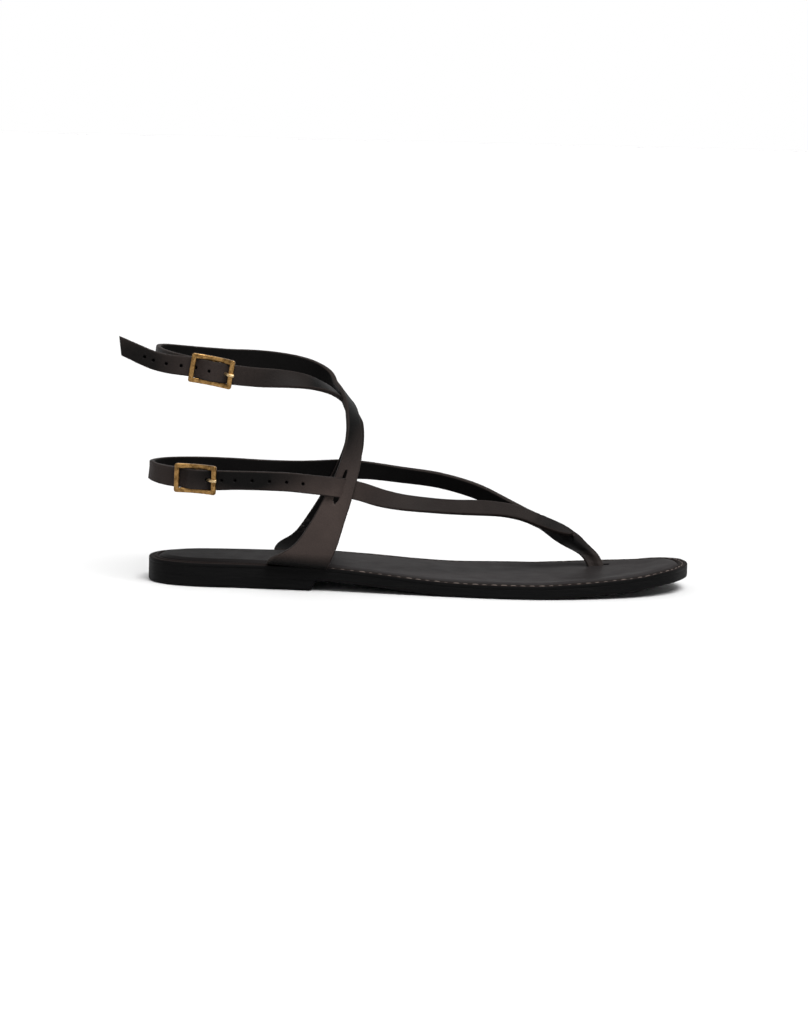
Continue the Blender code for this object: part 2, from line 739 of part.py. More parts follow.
def make_upper(finish):
    lateral = riser_points(SIDES["lateral"]) + strap_points(LATERAL_RING, UPPER_RISE)
    medial = riser_points(SIDES["medial"]) + strap_points(MEDIAL_RING, UPPER_RISE)
    straps = {
        "strap_lateral": fixed_end(lateral, BUCKLE_UPPER),
        "strap_medial": holed_end(medial, BUCKLE_UPPER, TAILS["upper"]),
        "thong_medial": fixed_end(strap_points(MEDIAL_THONG, LOWER_RISE), BUCKLE_LOWER),
        "thong_lateral": holed_end(strap_points(LATERAL_THONG, LOWER_RISE), BUCKLE_LOWER, TAILS["lower"]),
    }
    solids = {name: ribbon(name, points, STRAP_THICKNESS) for name, points in straps.items()}
    for strap, side in (("strap_lateral", -1), ("strap_medial", 1)):
        boolean(solids[strap], make_slit(f"slit_{strap}", side), "DIFFERENCE")
    for fixed, holed, row in (
        ("strap_lateral", "strap_medial", BUCKLE_UPPER),
        ("thong_medial", "thong_lateral", BUCKLE_LOWER),
    ):
        boolean(solids[fixed], make_fold(f"fold_{fixed}", row), "UNION", "MANIFOLD")
        boolean(solids[fixed], prong_slot(f"slot_{fixed}", row), "DIFFERENCE")
        boolean(solids[holed], prong_hole(f"hole_{holed}", row), "DIFFERENCE")
    upper = solids["strap_lateral"]
    for name in ("strap_medial", "thong_medial", "thong_lateral"):
        boolean(upper, solids[name], "UNION", "MANIFOLD")
    boolean(upper, ribbon("post", post_points(), POST_THICKNESS, columns=2), "UNION", "MANIFOLD")
    upper.name = "upper"
    upper.hide_render = False
    upper.display_type = "TEXTURED"
    bpy.data.collections[CUTTERS_NAME].objects.unlink(upper)
    store(upper, finish)
    return upper


def carry_to_origin():
    """One empty holds every piece and cutter, so that the origin is under the heel."""
    holder = bpy.data.objects.new("heel_middle", None)
    bpy.context.scene.collection.objects.link(holder)
    for obj in bpy.data.objects:
        if obj is not holder:
            obj.parent = holder
    holder.location.x = -HEEL_REST


def main():
    empty_scene()
    leather = material("strap_leather", (0.052, 0.042, 0.038), 0.45)
    rubber = material("sole_edge", (0.008, 0.008, 0.008), 0.5)
    lining = material("insole_leather", (0.062, 0.056, 0.055), 0.5)
    brass = material("brass", (0.30, 0.19, 0.08), 0.3, 1.0)

    outsole = make_outsole(rubber)
    make_heel(rubber)
    insole = make_insole(lining)
    for name, side in SIDES.items():
        pocket = strap_pocket(f"pocket_{name}", side)
        boolean(outsole, pocket, "DIFFERENCE")
        boolean(insole, pocket, "DIFFERENCE")
    boolean(insole, post_slot(), "DIFFERENCE")
    make_upper(leather)
    for name, row in (("upper", BUCKLE_UPPER), ("lower", BUCKLE_LOWER)):
        make_buckle(f"buckle_{name}", row, brass)
        make_prong(f"prong_{name}", row, brass)
    carry_to_origin()


main()
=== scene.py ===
# A right leather sandal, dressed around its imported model.
# Metres. Everything is worked out from the back of the heel, and moved to the frame's own origin,
# under the middle of the heel, when a piece's mesh is made.

import math

import bmesh
import bpy
from mathutils import Matrix, Vector


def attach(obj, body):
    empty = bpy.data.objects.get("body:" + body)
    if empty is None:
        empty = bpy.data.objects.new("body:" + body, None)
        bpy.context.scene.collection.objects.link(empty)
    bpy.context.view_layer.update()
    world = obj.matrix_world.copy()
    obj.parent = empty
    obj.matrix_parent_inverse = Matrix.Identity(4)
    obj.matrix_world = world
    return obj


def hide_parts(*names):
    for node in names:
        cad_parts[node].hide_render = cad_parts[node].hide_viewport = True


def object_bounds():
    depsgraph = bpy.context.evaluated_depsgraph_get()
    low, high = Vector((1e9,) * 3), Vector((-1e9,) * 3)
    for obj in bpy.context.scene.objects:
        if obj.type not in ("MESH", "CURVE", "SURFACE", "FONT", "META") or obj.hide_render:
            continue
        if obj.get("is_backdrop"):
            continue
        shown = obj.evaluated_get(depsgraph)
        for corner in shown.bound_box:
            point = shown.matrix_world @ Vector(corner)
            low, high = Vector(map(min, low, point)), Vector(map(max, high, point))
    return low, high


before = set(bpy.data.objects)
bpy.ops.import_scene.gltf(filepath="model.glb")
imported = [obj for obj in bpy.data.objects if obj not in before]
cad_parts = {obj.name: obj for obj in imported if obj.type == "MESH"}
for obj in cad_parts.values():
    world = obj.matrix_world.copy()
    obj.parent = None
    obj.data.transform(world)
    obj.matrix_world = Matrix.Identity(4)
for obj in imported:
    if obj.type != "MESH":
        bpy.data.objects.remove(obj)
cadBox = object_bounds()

print("the packed sandal is loaded")

shoe = {
    "soleLength": 0.260,
    "ballWidth": 0.088,
    "heelWidth": 0.056,
    "outsoleThickness": 0.0046,
    "insoleEdge": 0.0013,
    "heelLift": 0.005,
    "heelLength": 0.079,
    "breastSlant": 0.0025,
    "heelRest": 0.040,
    "toeSpring": 0.0062,
    "gap": 0.0003,
}

# The outline: share of the length, half-widths to the outer and the inner side as shares of half
# the local width, and how far that width has gone from the heel's to the ball's.
outlineRows = (
    (0.000, 0.14, 0.14, 0.0), (0.005, 0.34, 0.34, 0.0), (0.015, 0.54, 0.54, 0.0),
    (0.035, 0.735, 0.73, 0.0), (0.065, 0.885, 0.875, 0.0), (0.110, 0.975, 0.955, 0.0),
    (0.170, 1.000, 0.980, 0.0), (0.270, 0.926, 0.890, 0.3), (0.360, 0.917, 0.890, 0.55),
    (0.460, 0.922, 0.898, 0.8), (0.560, 0.937, 0.903, 1.0), (0.650, 0.997, 0.982, 1.0),
    (0.720, 0.993, 1.000, 1.0), (0.790, 0.921, 0.984, 1.0), (0.850, 0.815, 0.944, 1.0),
    (0.900, 0.685, 0.876, 1.0), (0.940, 0.530, 0.793, 1.0), (0.970, 0.345, 0.700, 1.0),
    (0.990, 0.120, 0.570, 1.0), (1.000, -0.080, 0.350, 1.0),
)

# The underside: share of the length, share of the heel lift and share of the toe spring.
profileRows = (
    (0.00, 1.00, 0.00), (0.31, 1.00, 0.00), (0.40, 0.72, 0.00), (0.50, 0.25, 0.00),
    (0.57, 0.04, 0.00), (0.62, 0.00, 0.00), (0.71, 0.00, 0.00), (0.76, 0.00, 0.10),
    (0.835, 0.00, 0.31), (0.91, 0.00, 0.57), (0.946, 0.00, 0.80), (1.00, 0.00, 1.00),
)


def mix(low, high, share):
    return low + (high - low) * share


def smooth(share):
    share = min(max(share, 0.0), 1.0)
    return share * share * (3 - 2 * share)


def bump(distance, reach):
    # A rounded hump, 1 at no distance and 0 from the reach on.
    return 1 - smooth(abs(distance) / reach)


def slopes(xs, ys):
    steps = [(y1 - y0) / (x1 - x0) for x0, x1, y0, y1 in zip(xs, xs[1:], ys, ys[1:])]
    inner = [0.0 if a * b <= 0 else 2 * a * b / (a + b) for a, b in zip(steps, steps[1:])]
    return [steps[0]] + inner + [steps[-1]]


def readTable(rows, column, along):
    # The smooth value of a column at a share of the length, which never overshoots its rows.
    xs = [row[0] for row in rows]
    ys = [row[column] for row in rows]
    along = min(max(along, xs[0]), xs[-1])
    i = max(k for k in range(len(xs) - 1) if along >= xs[k])
    rates = slopes(xs, ys)
    span = xs[i + 1] - xs[i]
    t = (along - xs[i]) / span
    start = ys[i] * (1 + 2 * t) * (1 - t) ** 2 + rates[i] * span * t * (1 - t) ** 2
    end = ys[i + 1] * t * t * (3 - 2 * t) + rates[i + 1] * span * t * t * (t - 1)
    return start + end


def halfWidths(along):
    local = mix(shoe["heelWidth"], shoe["ballWidth"], readTable(outlineRows, 3, along)) / 2
    return readTable(outlineRows, 1, along) * local, readTable(outlineRows, 2, along) * local


def underside(x):
    along = x / shoe["soleLength"]
    lift = readTable(profileRows, 1, along) * shoe["heelLift"]
    return lift + readTable(profileRows, 2, along) * shoe["toeSpring"]


def seat(x):
    # The top of the insole's thin edge.
    return underside(x) + shoe["outsoleThickness"] + shoe["gap"] + shoe["insoleEdge"]


# Making meshes


def rotated(degrees, axis):
    return Matrix.Rotation(math.radians(degrees), 4, axis)


def aimed(place, way, axis="-Z"):
    # Stands something at a place, with its axis along a way.
    return Matrix.Translation(place) @ way.to_track_quat(axis, "Y").to_matrix().to_4x4()


def standUp(name, data, matrix=Matrix()):
    made = bpy.data.objects.new(name, data)
    made.matrix_world = matrix
    bpy.context.scene.collection.objects.link(made)
    return made


def meshOf(name, shaped):
    mesh = bpy.data.meshes.new(name)
    shaped.to_mesh(mesh)
    shaped.free()
    return mesh


def makePiece(name, points, faces, finishes, slot, cadNodes=(), worn=None, uvs=None):
    # worn gives each face its finish, and uvs each point its place along and across the leather.
    mesh = bpy.data.meshes.new(name)
    moved = [(p[0] - shoe["heelRest"], p[1], p[2]) for p in points]
    mesh.from_pydata(moved, [], faces)
    if worn:
        mesh.polygons.foreach_set("material_index", worn)
    if uvs:
        layer = mesh.uv_layers.new(name="leather")
        for loop in mesh.loops:
            layer.data[loop.index].uv = uvs[loop.vertex_index]
    shaped = bmesh.new()
    shaped.from_mesh(mesh)
    bmesh.ops.remove_doubles(shaped, verts=shaped.verts[:], dist=1e-6)
    bmesh.ops.recalc_face_normals(shaped, faces=shaped.faces[:])
    if shaped.calc_volume(signed=True) < 0:
        bmesh.ops.reverse_faces(shaped, faces=shaped.faces[:])
    shaped.to_mesh(mesh)
    shaped.free()
    for finish in finishes:
        mesh.materials.append(finish)
    mesh.shade_smooth()
    piece = standUp(name, mesh)
    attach(piece, "root")
    if cadNodes:
        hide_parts(*cadNodes)
    return piece


def skin(rings, around, closed=False, first=0):
    # The faces over a row of rings of points.
    faces = []
    for i in range(rings if closed else rings - 1):
        low, high = first + i * around, first + (i + 1) % rings * around
        for k in range(around):
            m = (k + 1) % around
            faces.append((low + k, low + m, high + m, high + k))
    return faces


def caps(rings, around, first=0):
    last = first + (rings - 1) * around
    return [tuple(range(first + around - 1, first - 1, -1)), tuple(range(last, last + around))]


def cutWith(piece, cutters):
    # Cuts the cutters' shapes out of a piece for good, and takes them away.
    for number, cutter in enumerate(cutters):
        modifier = piece.modifiers.new(f"cut{number}", "BOOLEAN")
        modifier.object = cutter
        modifier.operation = "DIFFERENCE"
        modifier.solver = "EXACT"
    bpy.context.view_layer.update()
    graph = bpy.context.evaluated_depsgraph_get()
    cut = bpy.data.meshes.new_from_object(piece.evaluated_get(graph))
    piece.modifiers.clear()
    piece.data = cut
    for cutter in cutters:
        bpy.data.objects.remove(cutter, do_unlink=True)


def makeCutter(name, shaped, matrix, worn=2):
    # worn numbers the finish, among the cut piece's own, that the cut's walls take.
    for face in shaped.faces:
        face.material_index = worn
    shaped.transform(Matrix.Translation((-shoe["heelRest"], 0, 0)) @ matrix)
    return standUp(name, meshOf(name, shaped))


# Shading


class Wire:
    # A socket in a material. Sums on it add the material's own maths.
    def __init__(self, finish, socket):
        self.finish = finish
        self.socket = socket

    def maths(self, operation, first, second):
        return self.finish.add("ShaderNodeMath", {"operation": operation}, {0: first, 1: second})

    def __add__(self, other):
        return self.maths("ADD", self, other)

    __radd__ = __add__

    def __sub__(self, other):
        return self.maths("SUBTRACT", self, other)

    def __rsub__(self, other):
        return self.maths("SUBTRACT", other, self)

    def __mul__(self, other):
        return self.maths("MULTIPLY", self, other)

    __rmul__ = __mul__


class Finish:
    def __init__(self, name, roughness, metallic=0.0, specular=0.5):
        self.material = bpy.data.materials.new(name)
        self.material.use_nodes = True
        self.nodes = self.material.node_tree.nodes
        self.links = self.material.node_tree.links
        self.shader = self.nodes["Principled BSDF"]
        self.place = self.add("ShaderNodeTexCoord", {}, {}, "Object")
        self.set("Roughness", roughness)
        self.set("Metallic", metallic)
        self.set("Specular IOR Level", specular)

    def set(self, name, value):
        if isinstance(value, Wire):
            self.links.new(value.socket, self.shader.inputs[name])
        elif isinstance(value, tuple):
            self.shader.inputs[name].default_value = (*value, 1.0)
        else:
            self.shader.inputs[name].default_value = value

    def add(self, kind, settings, inputs, output=0):
        node = self.nodes.new(kind)
        for name, value in settings.items():
            setattr(node, name, value)
        for name, value in inputs.items():
            if isinstance(value, Wire):
                self.links.new(value.socket, node.inputs[name])
            elif isinstance(value, tuple) and len(node.inputs[name].default_value) == 4:
                node.inputs[name].default_value = (*value, 1.0)
            else:
                node.inputs[name].default_value = value
        return Wire(self, node.outputs[output])

    def leather(self):
        return self.add("ShaderNodeUVMap", {"uv_map": "leather"}, {})

    def noise(self, scale, detail=3.0, roughness=0.5):
        # A scale of three numbers stretches it along the axes.
        place = self.place
        if isinstance(scale, tuple):
            place = self.add("ShaderNodeMapping", {}, {"Vector": place, "Scale": scale})
            scale = 1.0
        inputs = {"Vector": place, "Scale": scale, "Detail": detail, "Roughness": roughness}
        return self.add("ShaderNodeTexNoise", {}, inputs)

    def cells(self, scale):
        return self.add("ShaderNodeTexVoronoi", {}, {"Vector": self.place, "Scale": scale})

    def ranged(self, value, low, high, lowest=0.0, highest=1.0):
        inputs = {"Value": value, 1: low, 2: high, 3: lowest, 4: highest}
        return self.add("ShaderNodeMapRange", {}, inputs)

    def blend(self, share, first, second):
        inputs = {0: share, 6: first, 7: second}
        return self.add("ShaderNodeMix", {"data_type": "RGBA"}, inputs, 2)

    def paint(self, share, first, second):
        self.set("Base Color", self.blend(share, first, second))

    def patch(self, middle, reach, hard=0.4):
        # 1 round the middle and 0 outside the reach, both given for X and Z.
        inputs = {0: self.place, 1: (middle[0], 0.0, middle[1])}
        offset = self.add("ShaderNodeVectorMath", {"operation": "SUBTRACT"}, inputs)
        scale = (1 / reach[0], 0.0, 1 / reach[1])
        scaled = self.add("ShaderNodeVectorMath", {"operation": "MULTIPLY"}, {0: offset, 1: scale})
        length = self.add("ShaderNodeVectorMath", {"operation": "LENGTH"}, {0: scaled}, 1)
        return self.ranged(length, hard, 1.0, 1.0, 0.0)

    def split(self, vector, axis):
        return self.add("ShaderNodeSeparateXYZ", {}, {0: vector}, axis)

    def relief(self, height, depth):
        inputs = {"Height": height, "Strength": 1.0, "Distance": depth}
        self.set("Normal", self.add("ShaderNodeBump", {}, inputs))


def makeStrapLeather():
    look = {
        "brown": (0.0400, 0.0300, 0.0268),
        "dark": (0.0330, 0.0250, 0.0226),
        "black": (0.0030, 0.0028, 0.0027),
        "worn": 0.37,
        "grain": 1300.0,
        "grainDepth": 0.00012,
        # Middle and reach along X and Z, and how much painted light (above 0) or painted shade (below
        # 0) lies there.
        "paintedLightAndShade": (
            ((0.038, 0.034), (0.028, 0.042), 0.50), ((0.012, 0.056), (0.045, 0.014), -0.66),
            ((-0.046, 0.104), (0.024, 0.022), -0.48), ((0.052, 0.088), (0.018, 0.032), -0.60),
            ((0.026, 0.098), (0.030, 0.016), -0.33), ((0.115, 0.036), (0.064, 0.024), -0.24),
            ((0.160, 0.025), (0.022, 0.016), -0.34), ((0.030, 0.0095), (0.045, 0.0095), -0.95),
        ),
    }
    finish = Finish("strapLeather", 0.52, specular=0.05)
    cloud = finish.noise(60.0, 3.0)
    grain = finish.cells(look["grain"])
    fine = finish.noise(2600.0, 2.0)
    # worn sets the base colour between black and brown: the leather's own random tone, plus the
    # painted light and painted shade added in the loop below.
    worn = look["worn"] + 0.16 * finish.noise(130.0, 4.0) + 0.20 * fine
    for middle, reach, much in look["paintedLightAndShade"]:
        worn = worn + much * finish.patch(middle, reach)
    brown = finish.blend(finish.ranged(cloud, 0.35, 0.65), look["dark"], look["brown"])
    finish.paint(finish.ranged(worn, 0.0, 1.0), look["black"], brown)
    finish.set("Roughness", 0.46 + 0.12 * finish.noise(240.0, 2.0))
    finish.relief(grain * 0.8 + fine * 0.5 + cloud * 0.6, look["grainDepth"])
    return finish.material


def makePostLeather():
    # Painted shade darkens the upper back of the fold, and painted light shows the leather's brown at
    # its front and its foot.
    finish = Finish("postLeather", 0.5, specular=0.14)
    run, share = (finish.split(finish.leather(), axis) for axis in (0, 1))
    cloud = finish.noise(220.0, 3.0)
    # foot and front lighten it to the leather's brown as painted light; the dark that they leave is
    # painted shade.
    foot = finish.ranged(run - 0.003 * share, 0.0070, 0.0135, 1.0, 0.0)
    front = finish.ranged(share + 0.3 * cloud, 0.60, 0.95, 0.0, 0.5)
    shown = finish.ranged(foot + front, 0.0, 1.1)
    finish.paint(shown, (0.0050, 0.0047, 0.0046), (0.0240, 0.0188, 0.0172))
    finish.relief(finish.cells(1500.0) * 0.6 + cloud, 0.00007)
    return finish.material


def makeStrapEdge():
    finish = Finish("strapEdge", 0.6, specular=0.06)
    fibres = finish.noise(900.0, 3.0)
    finish.paint(fibres, (0.0090, 0.0071, 0.0065), (0.0240, 0.0184, 0.0163))
    finish.relief(fibres, 0.0001)
    return finish.material


def makeStrapLining():
    finish = Finish("strapLining", 0.85, specular=0.05)
    nap = finish.noise(1400.0, 4.0, 0.7)
    cloud = finish.noise(90.0, 3.0)
    lining = finish.blend(cloud, (0.0020, 0.0018, 0.0018), (0.0040, 0.0037, 0.0036))
    # Painted highlights: lighter streaks on the lining's folds, where they catch the light; the same
    # mask also raises the folds a little.
    folds = finish.noise((500.0, 500.0, 1500.0), 3.0)
    where = finish.patch((0.0285, 0.0240), (0.0080, 0.0055), 0.5)
    foldHighlights = finish.ranged(folds, 0.50, 0.62) * where
    finish.paint(foldHighlights, lining, (0.0450, 0.0400, 0.0380))
    finish.relief(nap * 0.8 + cloud * 0.5 + foldHighlights * 2.0, 0.00012)
    return finish.material


def makeSoleEdge():
    finish = Finish("soleEdge", 0.55, specular=0.05)
    layers = finish.noise((14.0, 14.0, 1500.0), 3.0, 0.6)
    scuffs = finish.noise((60.0, 60.0, 900.0), 4.0, 0.7)
    shade = finish.ranged(scuffs, 0.45, 0.75)
    finish.paint(shade, (0.0022, 0.0022, 0.0023), (0.0040, 0.0039, 0.0039))
    finish.set("Roughness", 0.48 + 0.2 * layers)
    finish.relief(layers + scuffs * 0.5, 0.00012)
    return finish.material


def makeInsoleGrey():
    finish = Finish("insoleGrey", 0.42, specular=0.004)
    cloud = finish.noise(28.0, 4.0)
    grain = finish.cells(1100.0)
    cloud = finish.ranged(cloud, 0.3, 0.7)
    # The pad's grey is partly the insole leather's colour and partly painted sheen; the border's
    # browner colour is the same leather without that sheen.
    grey = finish.blend(cloud, (0.0165, 0.0148, 0.0148), (0.0228, 0.0205, 0.0205))
    # Painted shade: the seat darkens towards the back of the heel.
    shade = finish.ranged(finish.split(finish.place, 0), -0.01, 0.07, 0.78, 0.0)
    finish.paint(shade, grey, (0.0040, 0.0036, 0.0036))
    finish.set("Roughness", 0.36 + 0.16 * finish.noise(120.0, 3.0))
    finish.relief(grain * 0.6 + finish.noise(2400.0, 2.0) * 0.4, 0.00005)
    return finish.material


def makeInsoleBorder():
    finish = Finish("insoleBorder", 0.5, specular=0.004)
    cloud = finish.noise(45.0, 4.0)
    finish.paint(cloud, (0.0072, 0.0052, 0.0048), (0.0104, 0.0078, 0.0072))
    finish.relief(finish.cells(1300.0) * 0.6 + cloud, 0.00006)
    return finish.material


def makeThread():
    finish = Finish("thread", 0.7, specular=0.3)
    twist = finish.noise(2500.0, 2.0)
    finish.paint(twist, (0.060, 0.046, 0.040), (0.165, 0.130, 0.110))
    finish.relief(twist, 0.00008)
    return finish.material


def makeBrass(name, bright, aged):
    finish = Finish(name, 0.3, metallic=1.0)
    blotches = finish.noise(420.0, 4.0, 0.65)
    pits = finish.noise(1600.0, 3.0, 0.6)
    worn = finish.ranged(blotches + 0.3 * pits, 0.45, 0.92)
    finish.paint(worn, aged, bright)
    finish.set("Roughness", 0.46 - 0.18 * worn)
    finish.relief(blotches * 0.5 + pits * 0.4, 0.00008)
    return finish.material


strapLeather = makeStrapLeather()
strapEdge = makeStrapEdge()
postLeather = makePostLeather()
strapLining = makeStrapLining()
soleEdge = makeSoleEdge()
insoleGrey = makeInsoleGrey()
insoleBorder = makeInsoleBorder()
thread = makeThread()
brass = makeBrass("brass", (0.51, 0.295, 0.105), (0.078, 0.040, 0.012))
brightBrass = makeBrass("brightBrass", (0.85, 0.66, 0.40), (0.42, 0.28, 0.12))
print("the finishes are mixed")

# The sole


def lengthsOf(path):
    # How far along a path each of its places lies.
    lengths = [0.0]
    for a, b in zip(path, path[1:]):
        lengths.append(lengths[-1] + (b - a).length)
    return lengths


def evenShares(lengths, steps):
    # The span of the path in which each even step falls, and how far along that span.
    k = 0
    for step in range(steps + 1):
        target = lengths[-1] * step / steps
        while k < len(lengths) - 2 and lengths[k + 1] < target:
            k += 1
        span = lengths[k + 1] - lengths[k]
        yield k, (target - lengths[k]) / span if span else 0.0


def evenly(path, spacing):
    lengths = lengthsOf(path)
    steps = max(2, round(lengths[-1] / spacing))
    return [path[k].lerp(path[k + 1], share) for k, share in evenShares(lengths, steps)]


def rising(path, count):
    return evenly(path, lengthsOf(path)[-1] / count)


def curveThrough(points, closed, spacing):
    # A smooth curve through the points, resampled evenly.
    count = len(points)
    dense = []
    for i in range(count if closed else count - 1):
        near = [k % count if closed else min(max(k, 0), count - 1) for k in range(i - 1, i + 3)]
        a, b, c, d = (Vector(points[k]) for k in near)
        reach = (c - b).length
        start = (c - a) * reach / ((b - a).length + reach)
        end = (d - b) * reach / ((d - c).length + reach)
        for step in range(12):
            t = step / 12
            h = (2 * t ** 3 - 3 * t * t + 1, t ** 3 - 2 * t * t + t)
            k = (3 * t * t - 2 * t ** 3, t ** 3 - t * t)
            dense.append(b * h[0] + start * h[1] + c * k[0] + end * k[1])
    if closed:
        return evenly(dense + [dense[0]], spacing)[:-1]
    return evenly(dense + [Vector(points[-1])], spacing)


def soleHalves(count=220):
    # The outline's outer and inner half, each from the back of the heel to the toe.
    length = shoe["soleLength"]
    rows = [row[0] for row in outlineRows]
    near = [Vector((along * length, -halfWidths(along)[0], 0)) for along in rows]
    far = [Vector((along * length, halfWidths(along)[1], 0)) for along in rows]
    ring = curveThrough(near + far[::-1], True, 0.0004)
    tip = max(range(len(ring)), key=lambda i: ring[i].x)
    heel = min(range(len(ring)), key=lambda i: ring[i].x)
    turned = ring[heel:] + ring[:heel]
    split = (tip - heel) % len(ring)
    return rising(turned[: split + 1], count), rising((turned[split:] + [turned[0]])[::-1], count)


def inwards(near, far):
    # The closed ring of both halves and each point's direction in from the edge.
    ring = near + far[-2:0:-1]
    count = len(ring)
    ways = []
    for i in range(count):
        flat = ring[(i + 1) % count] - ring[i - 1]
        ways.append(Vector((-flat.y, flat.x, 0)).normalized())
    for _ in range(6):
        ways = [(ways[i - 1] + ways[i] * 2 + ways[(i + 1) % count]).normalized() for i in range(count)]
    return ring, ways


def makeLayer(name, near, far, loops, finishes, slot, cadNodes, wornBy=lambda band: 0, rungs=8):
    # A closed slab: loops go from its middle below, out, up and back to its middle above. Each
    # gives how far in it lies and its height at a point, and wornBy names a band's finish.
    ring, ways = inwards(near, far)
    count = len(ring)
    top = len(loops) - 1
    points = []
    for inset, height in loops:
        for place, way in zip(ring, ways):
            at = place + way * (inset(place.x) if callable(inset) else inset)
            points.append((at.x, at.y, height(at.x, at.y)))
    faces = skin(len(loops), count)
    worn = [wornBy(band) for band in range(top) for _ in ring]
    for level in (0, top):
        first = level * count
        height = loops[level][1]
        rows = []
        for i in range(len(near)):
            a, b = first + i, first + (count - i) % count
            row = [a]
            for k in range(1, rungs if a != b else 1):
                x, y = (mix(points[a][axis], points[b][axis], k / rungs) for axis in (0, 1))
                row.append(len(points))
                points.append((x, y, height(x, y)))
            rows.append(row + [b] * (rungs + 1 - len(row)))
        for lower, upper in zip(rows, rows[1:]):
            for k in range(rungs):
                # The outline's two ends are one point, so that a corner can stand there twice.
                corners = (lower[k], lower[k + 1], upper[k + 1], upper[k])
                faces.append(tuple(dict.fromkeys(corners)))
                worn.append(wornBy(level and top - 1))
    return makePiece(name, points, faces, finishes, slot, cadNodes, worn=worn)


def lowerRound(r):
    # How a slab's lower edge goes out and up.
    return ((4 * r, 0.0), (1.6 * r, 0.0), (r, 0.0), (0.3 * r, 0.25 * r), (0.0, r))


outsole = {"bottomRound": 0.0007, "topRound": 0.0002}


def makeOutsole():
    r = outsole["bottomRound"]
    top = outsole["topRound"]
    thick = shoe["outsoleThickness"]
    rise = lowerRound(r) + ((0.0, 1.8 * r), (0.0, 0.5 * thick), (0.0, 0.8 * thick))
    rise += ((0.0, thick - top), (0.3 * top, thick), (3 * top, thick), (0.004, thick))

    def rounded(inset):
        # The lower edge is square over the heel lift, so that no seam shows between them.
        return lambda x: inset * smooth((x - shoe["heelLength"] - 0.003) / 0.004)

    loops = [
        (inset if k < 2 or k > 4 else rounded(inset), lambda x, y, up=up: underside(x) + up)
        for k, (inset, up) in enumerate(rise)
    ]
    makeLayer("sole_slab", *soleHalves(), loops, [soleEdge], "sole_rubber", ["outsole"])


makeOutsole()

heel = {"round": 0.0009, "corner": 0.0012, "overlap": 0.0001}


def makeHeel():
    end = shoe["heelLength"]
    lift = shoe["heelLift"]
    corner = heel["corner"]

    def cutHalf(path):
        kept = [p for p in path if p.x < end - corner]
        side = kept[-1].y
        sign = 1 if side > 0 else -1
        middle = Vector((end - corner, side - sign * corner, 0))
        for turn in range(15, 91, 15):
            a = math.radians(turn)
            kept.append(middle + Vector((math.sin(a), sign * math.cos(a), 0)) * corner)
        kept.append(Vector((end, 0, 0)))
        return rising(kept, 150)

    top = heel["overlap"]
    rise = lowerRound(heel["round"]) + ((0.0, 0.5 * lift), (0.0, lift - top))
    rise += ((0.0, lift + top), (0.003, lift + top))
    loops = [(inset, lambda x, y, up=up: up) for inset, up in rise]
    halves = map(cutHalf, soleHalves())
    piece = makeLayer("heel_lift", *halves, loops, [soleEdge], "sole_rubber", ["heel"])
    for vert in piece.data.vertices:
        share = (vert.co.x + shoe["heelRest"]) / end
        vert.co.x += shoe["breastSlant"] * smooth((share - 0.6) / 0.4) * vert.co.z / lift


makeHeel()

insole = {
    "padRise": 0.0014,
    "padRiseAhead": 0.0006,
    "dish": 0.0010,
    "border": 0.0048,
    "padSlope": 0.0045,
    "channelAt": 0.0024,
    "channelWidth": 0.0009,
    "channelDepth": 0.00025,
    "grooveWidth": 0.0009,
    "grooveDepth": 0.0007,
    "crown": 0.0004,
    "edgeRound": 0.0003,
}


def insoleHeight(x, inset):
    # The padding is thickest under the heel, and dished round the toe post.
    i = insole
    rise = mix(i["padRise"], i["padRiseAhead"], smooth((x / shoe["soleLength"] - 0.15) / 0.3))
    border = 0.30 * rise * smooth(inset / i["border"])
    pad = 0.70 * rise * smooth((inset - i["border"]) / i["padSlope"])
    pad -= i["dish"] * smooth((inset - 0.008) / 0.014) * bump(x / shoe["soleLength"] - 0.78, 0.3)
    groove = i["grooveDepth"] * bump(inset - i["border"], i["grooveWidth"])
    channel = i["channelDepth"] * bump(inset - i["channelAt"], i["channelWidth"])
    return seat(x) + border + pad - groove - channel


def makeInsole():
    i = insole
    r = i["edgeRound"]
    base = shoe["gap"] + shoe["insoleEdge"] + 0.0001
    insets = (r, 0.0008, 0.0014, 0.0018, 0.0021, 0.0024, 0.0027, 0.0030, 0.0034, 0.0039, 0.0043)
    insets += (0.0045, 0.0047, 0.0049, 0.0051, 0.0054, 0.0058, 0.0063, 0.0069, 0.0076, 0.0084)
    insets += (0.0093, 0.0105, 0.012, 0.014, 0.017, 0.020)
    drops = ((0.003, base), (0.0, base), (0.0, 0.5 * base), (0.0, r), (0.3 * r, 0.3 * r))
    loops = [(inset, lambda x, y, drop=drop: seat(x) - drop) for inset, drop in drops]
    loops += [(inset, lambda x, y, inset=inset: insoleHeight(x, inset)) for inset in insets]
    borderBand = 4 + sum(inset < i["border"] + 0.0001 for inset in insets)

    def wornBy(band):
        if band < 4:
            return 0
        return 1 if band < borderBand else 2

    piece = makeLayer(
        "padded_insole", *soleHalves(), loops, [soleEdge, insoleBorder, insoleGrey],
        "insole_leather", ["insole"], wornBy, 14,
    )
    return piece


insolePiece = makeInsole()

stitching = {
    "pitch": 0.0045,
    "length": 0.0035,
    "radius": 0.00024,
    "dip": 0.0003,
    "from": 0.088,
    "around": 8,
    "steps": 8,
}


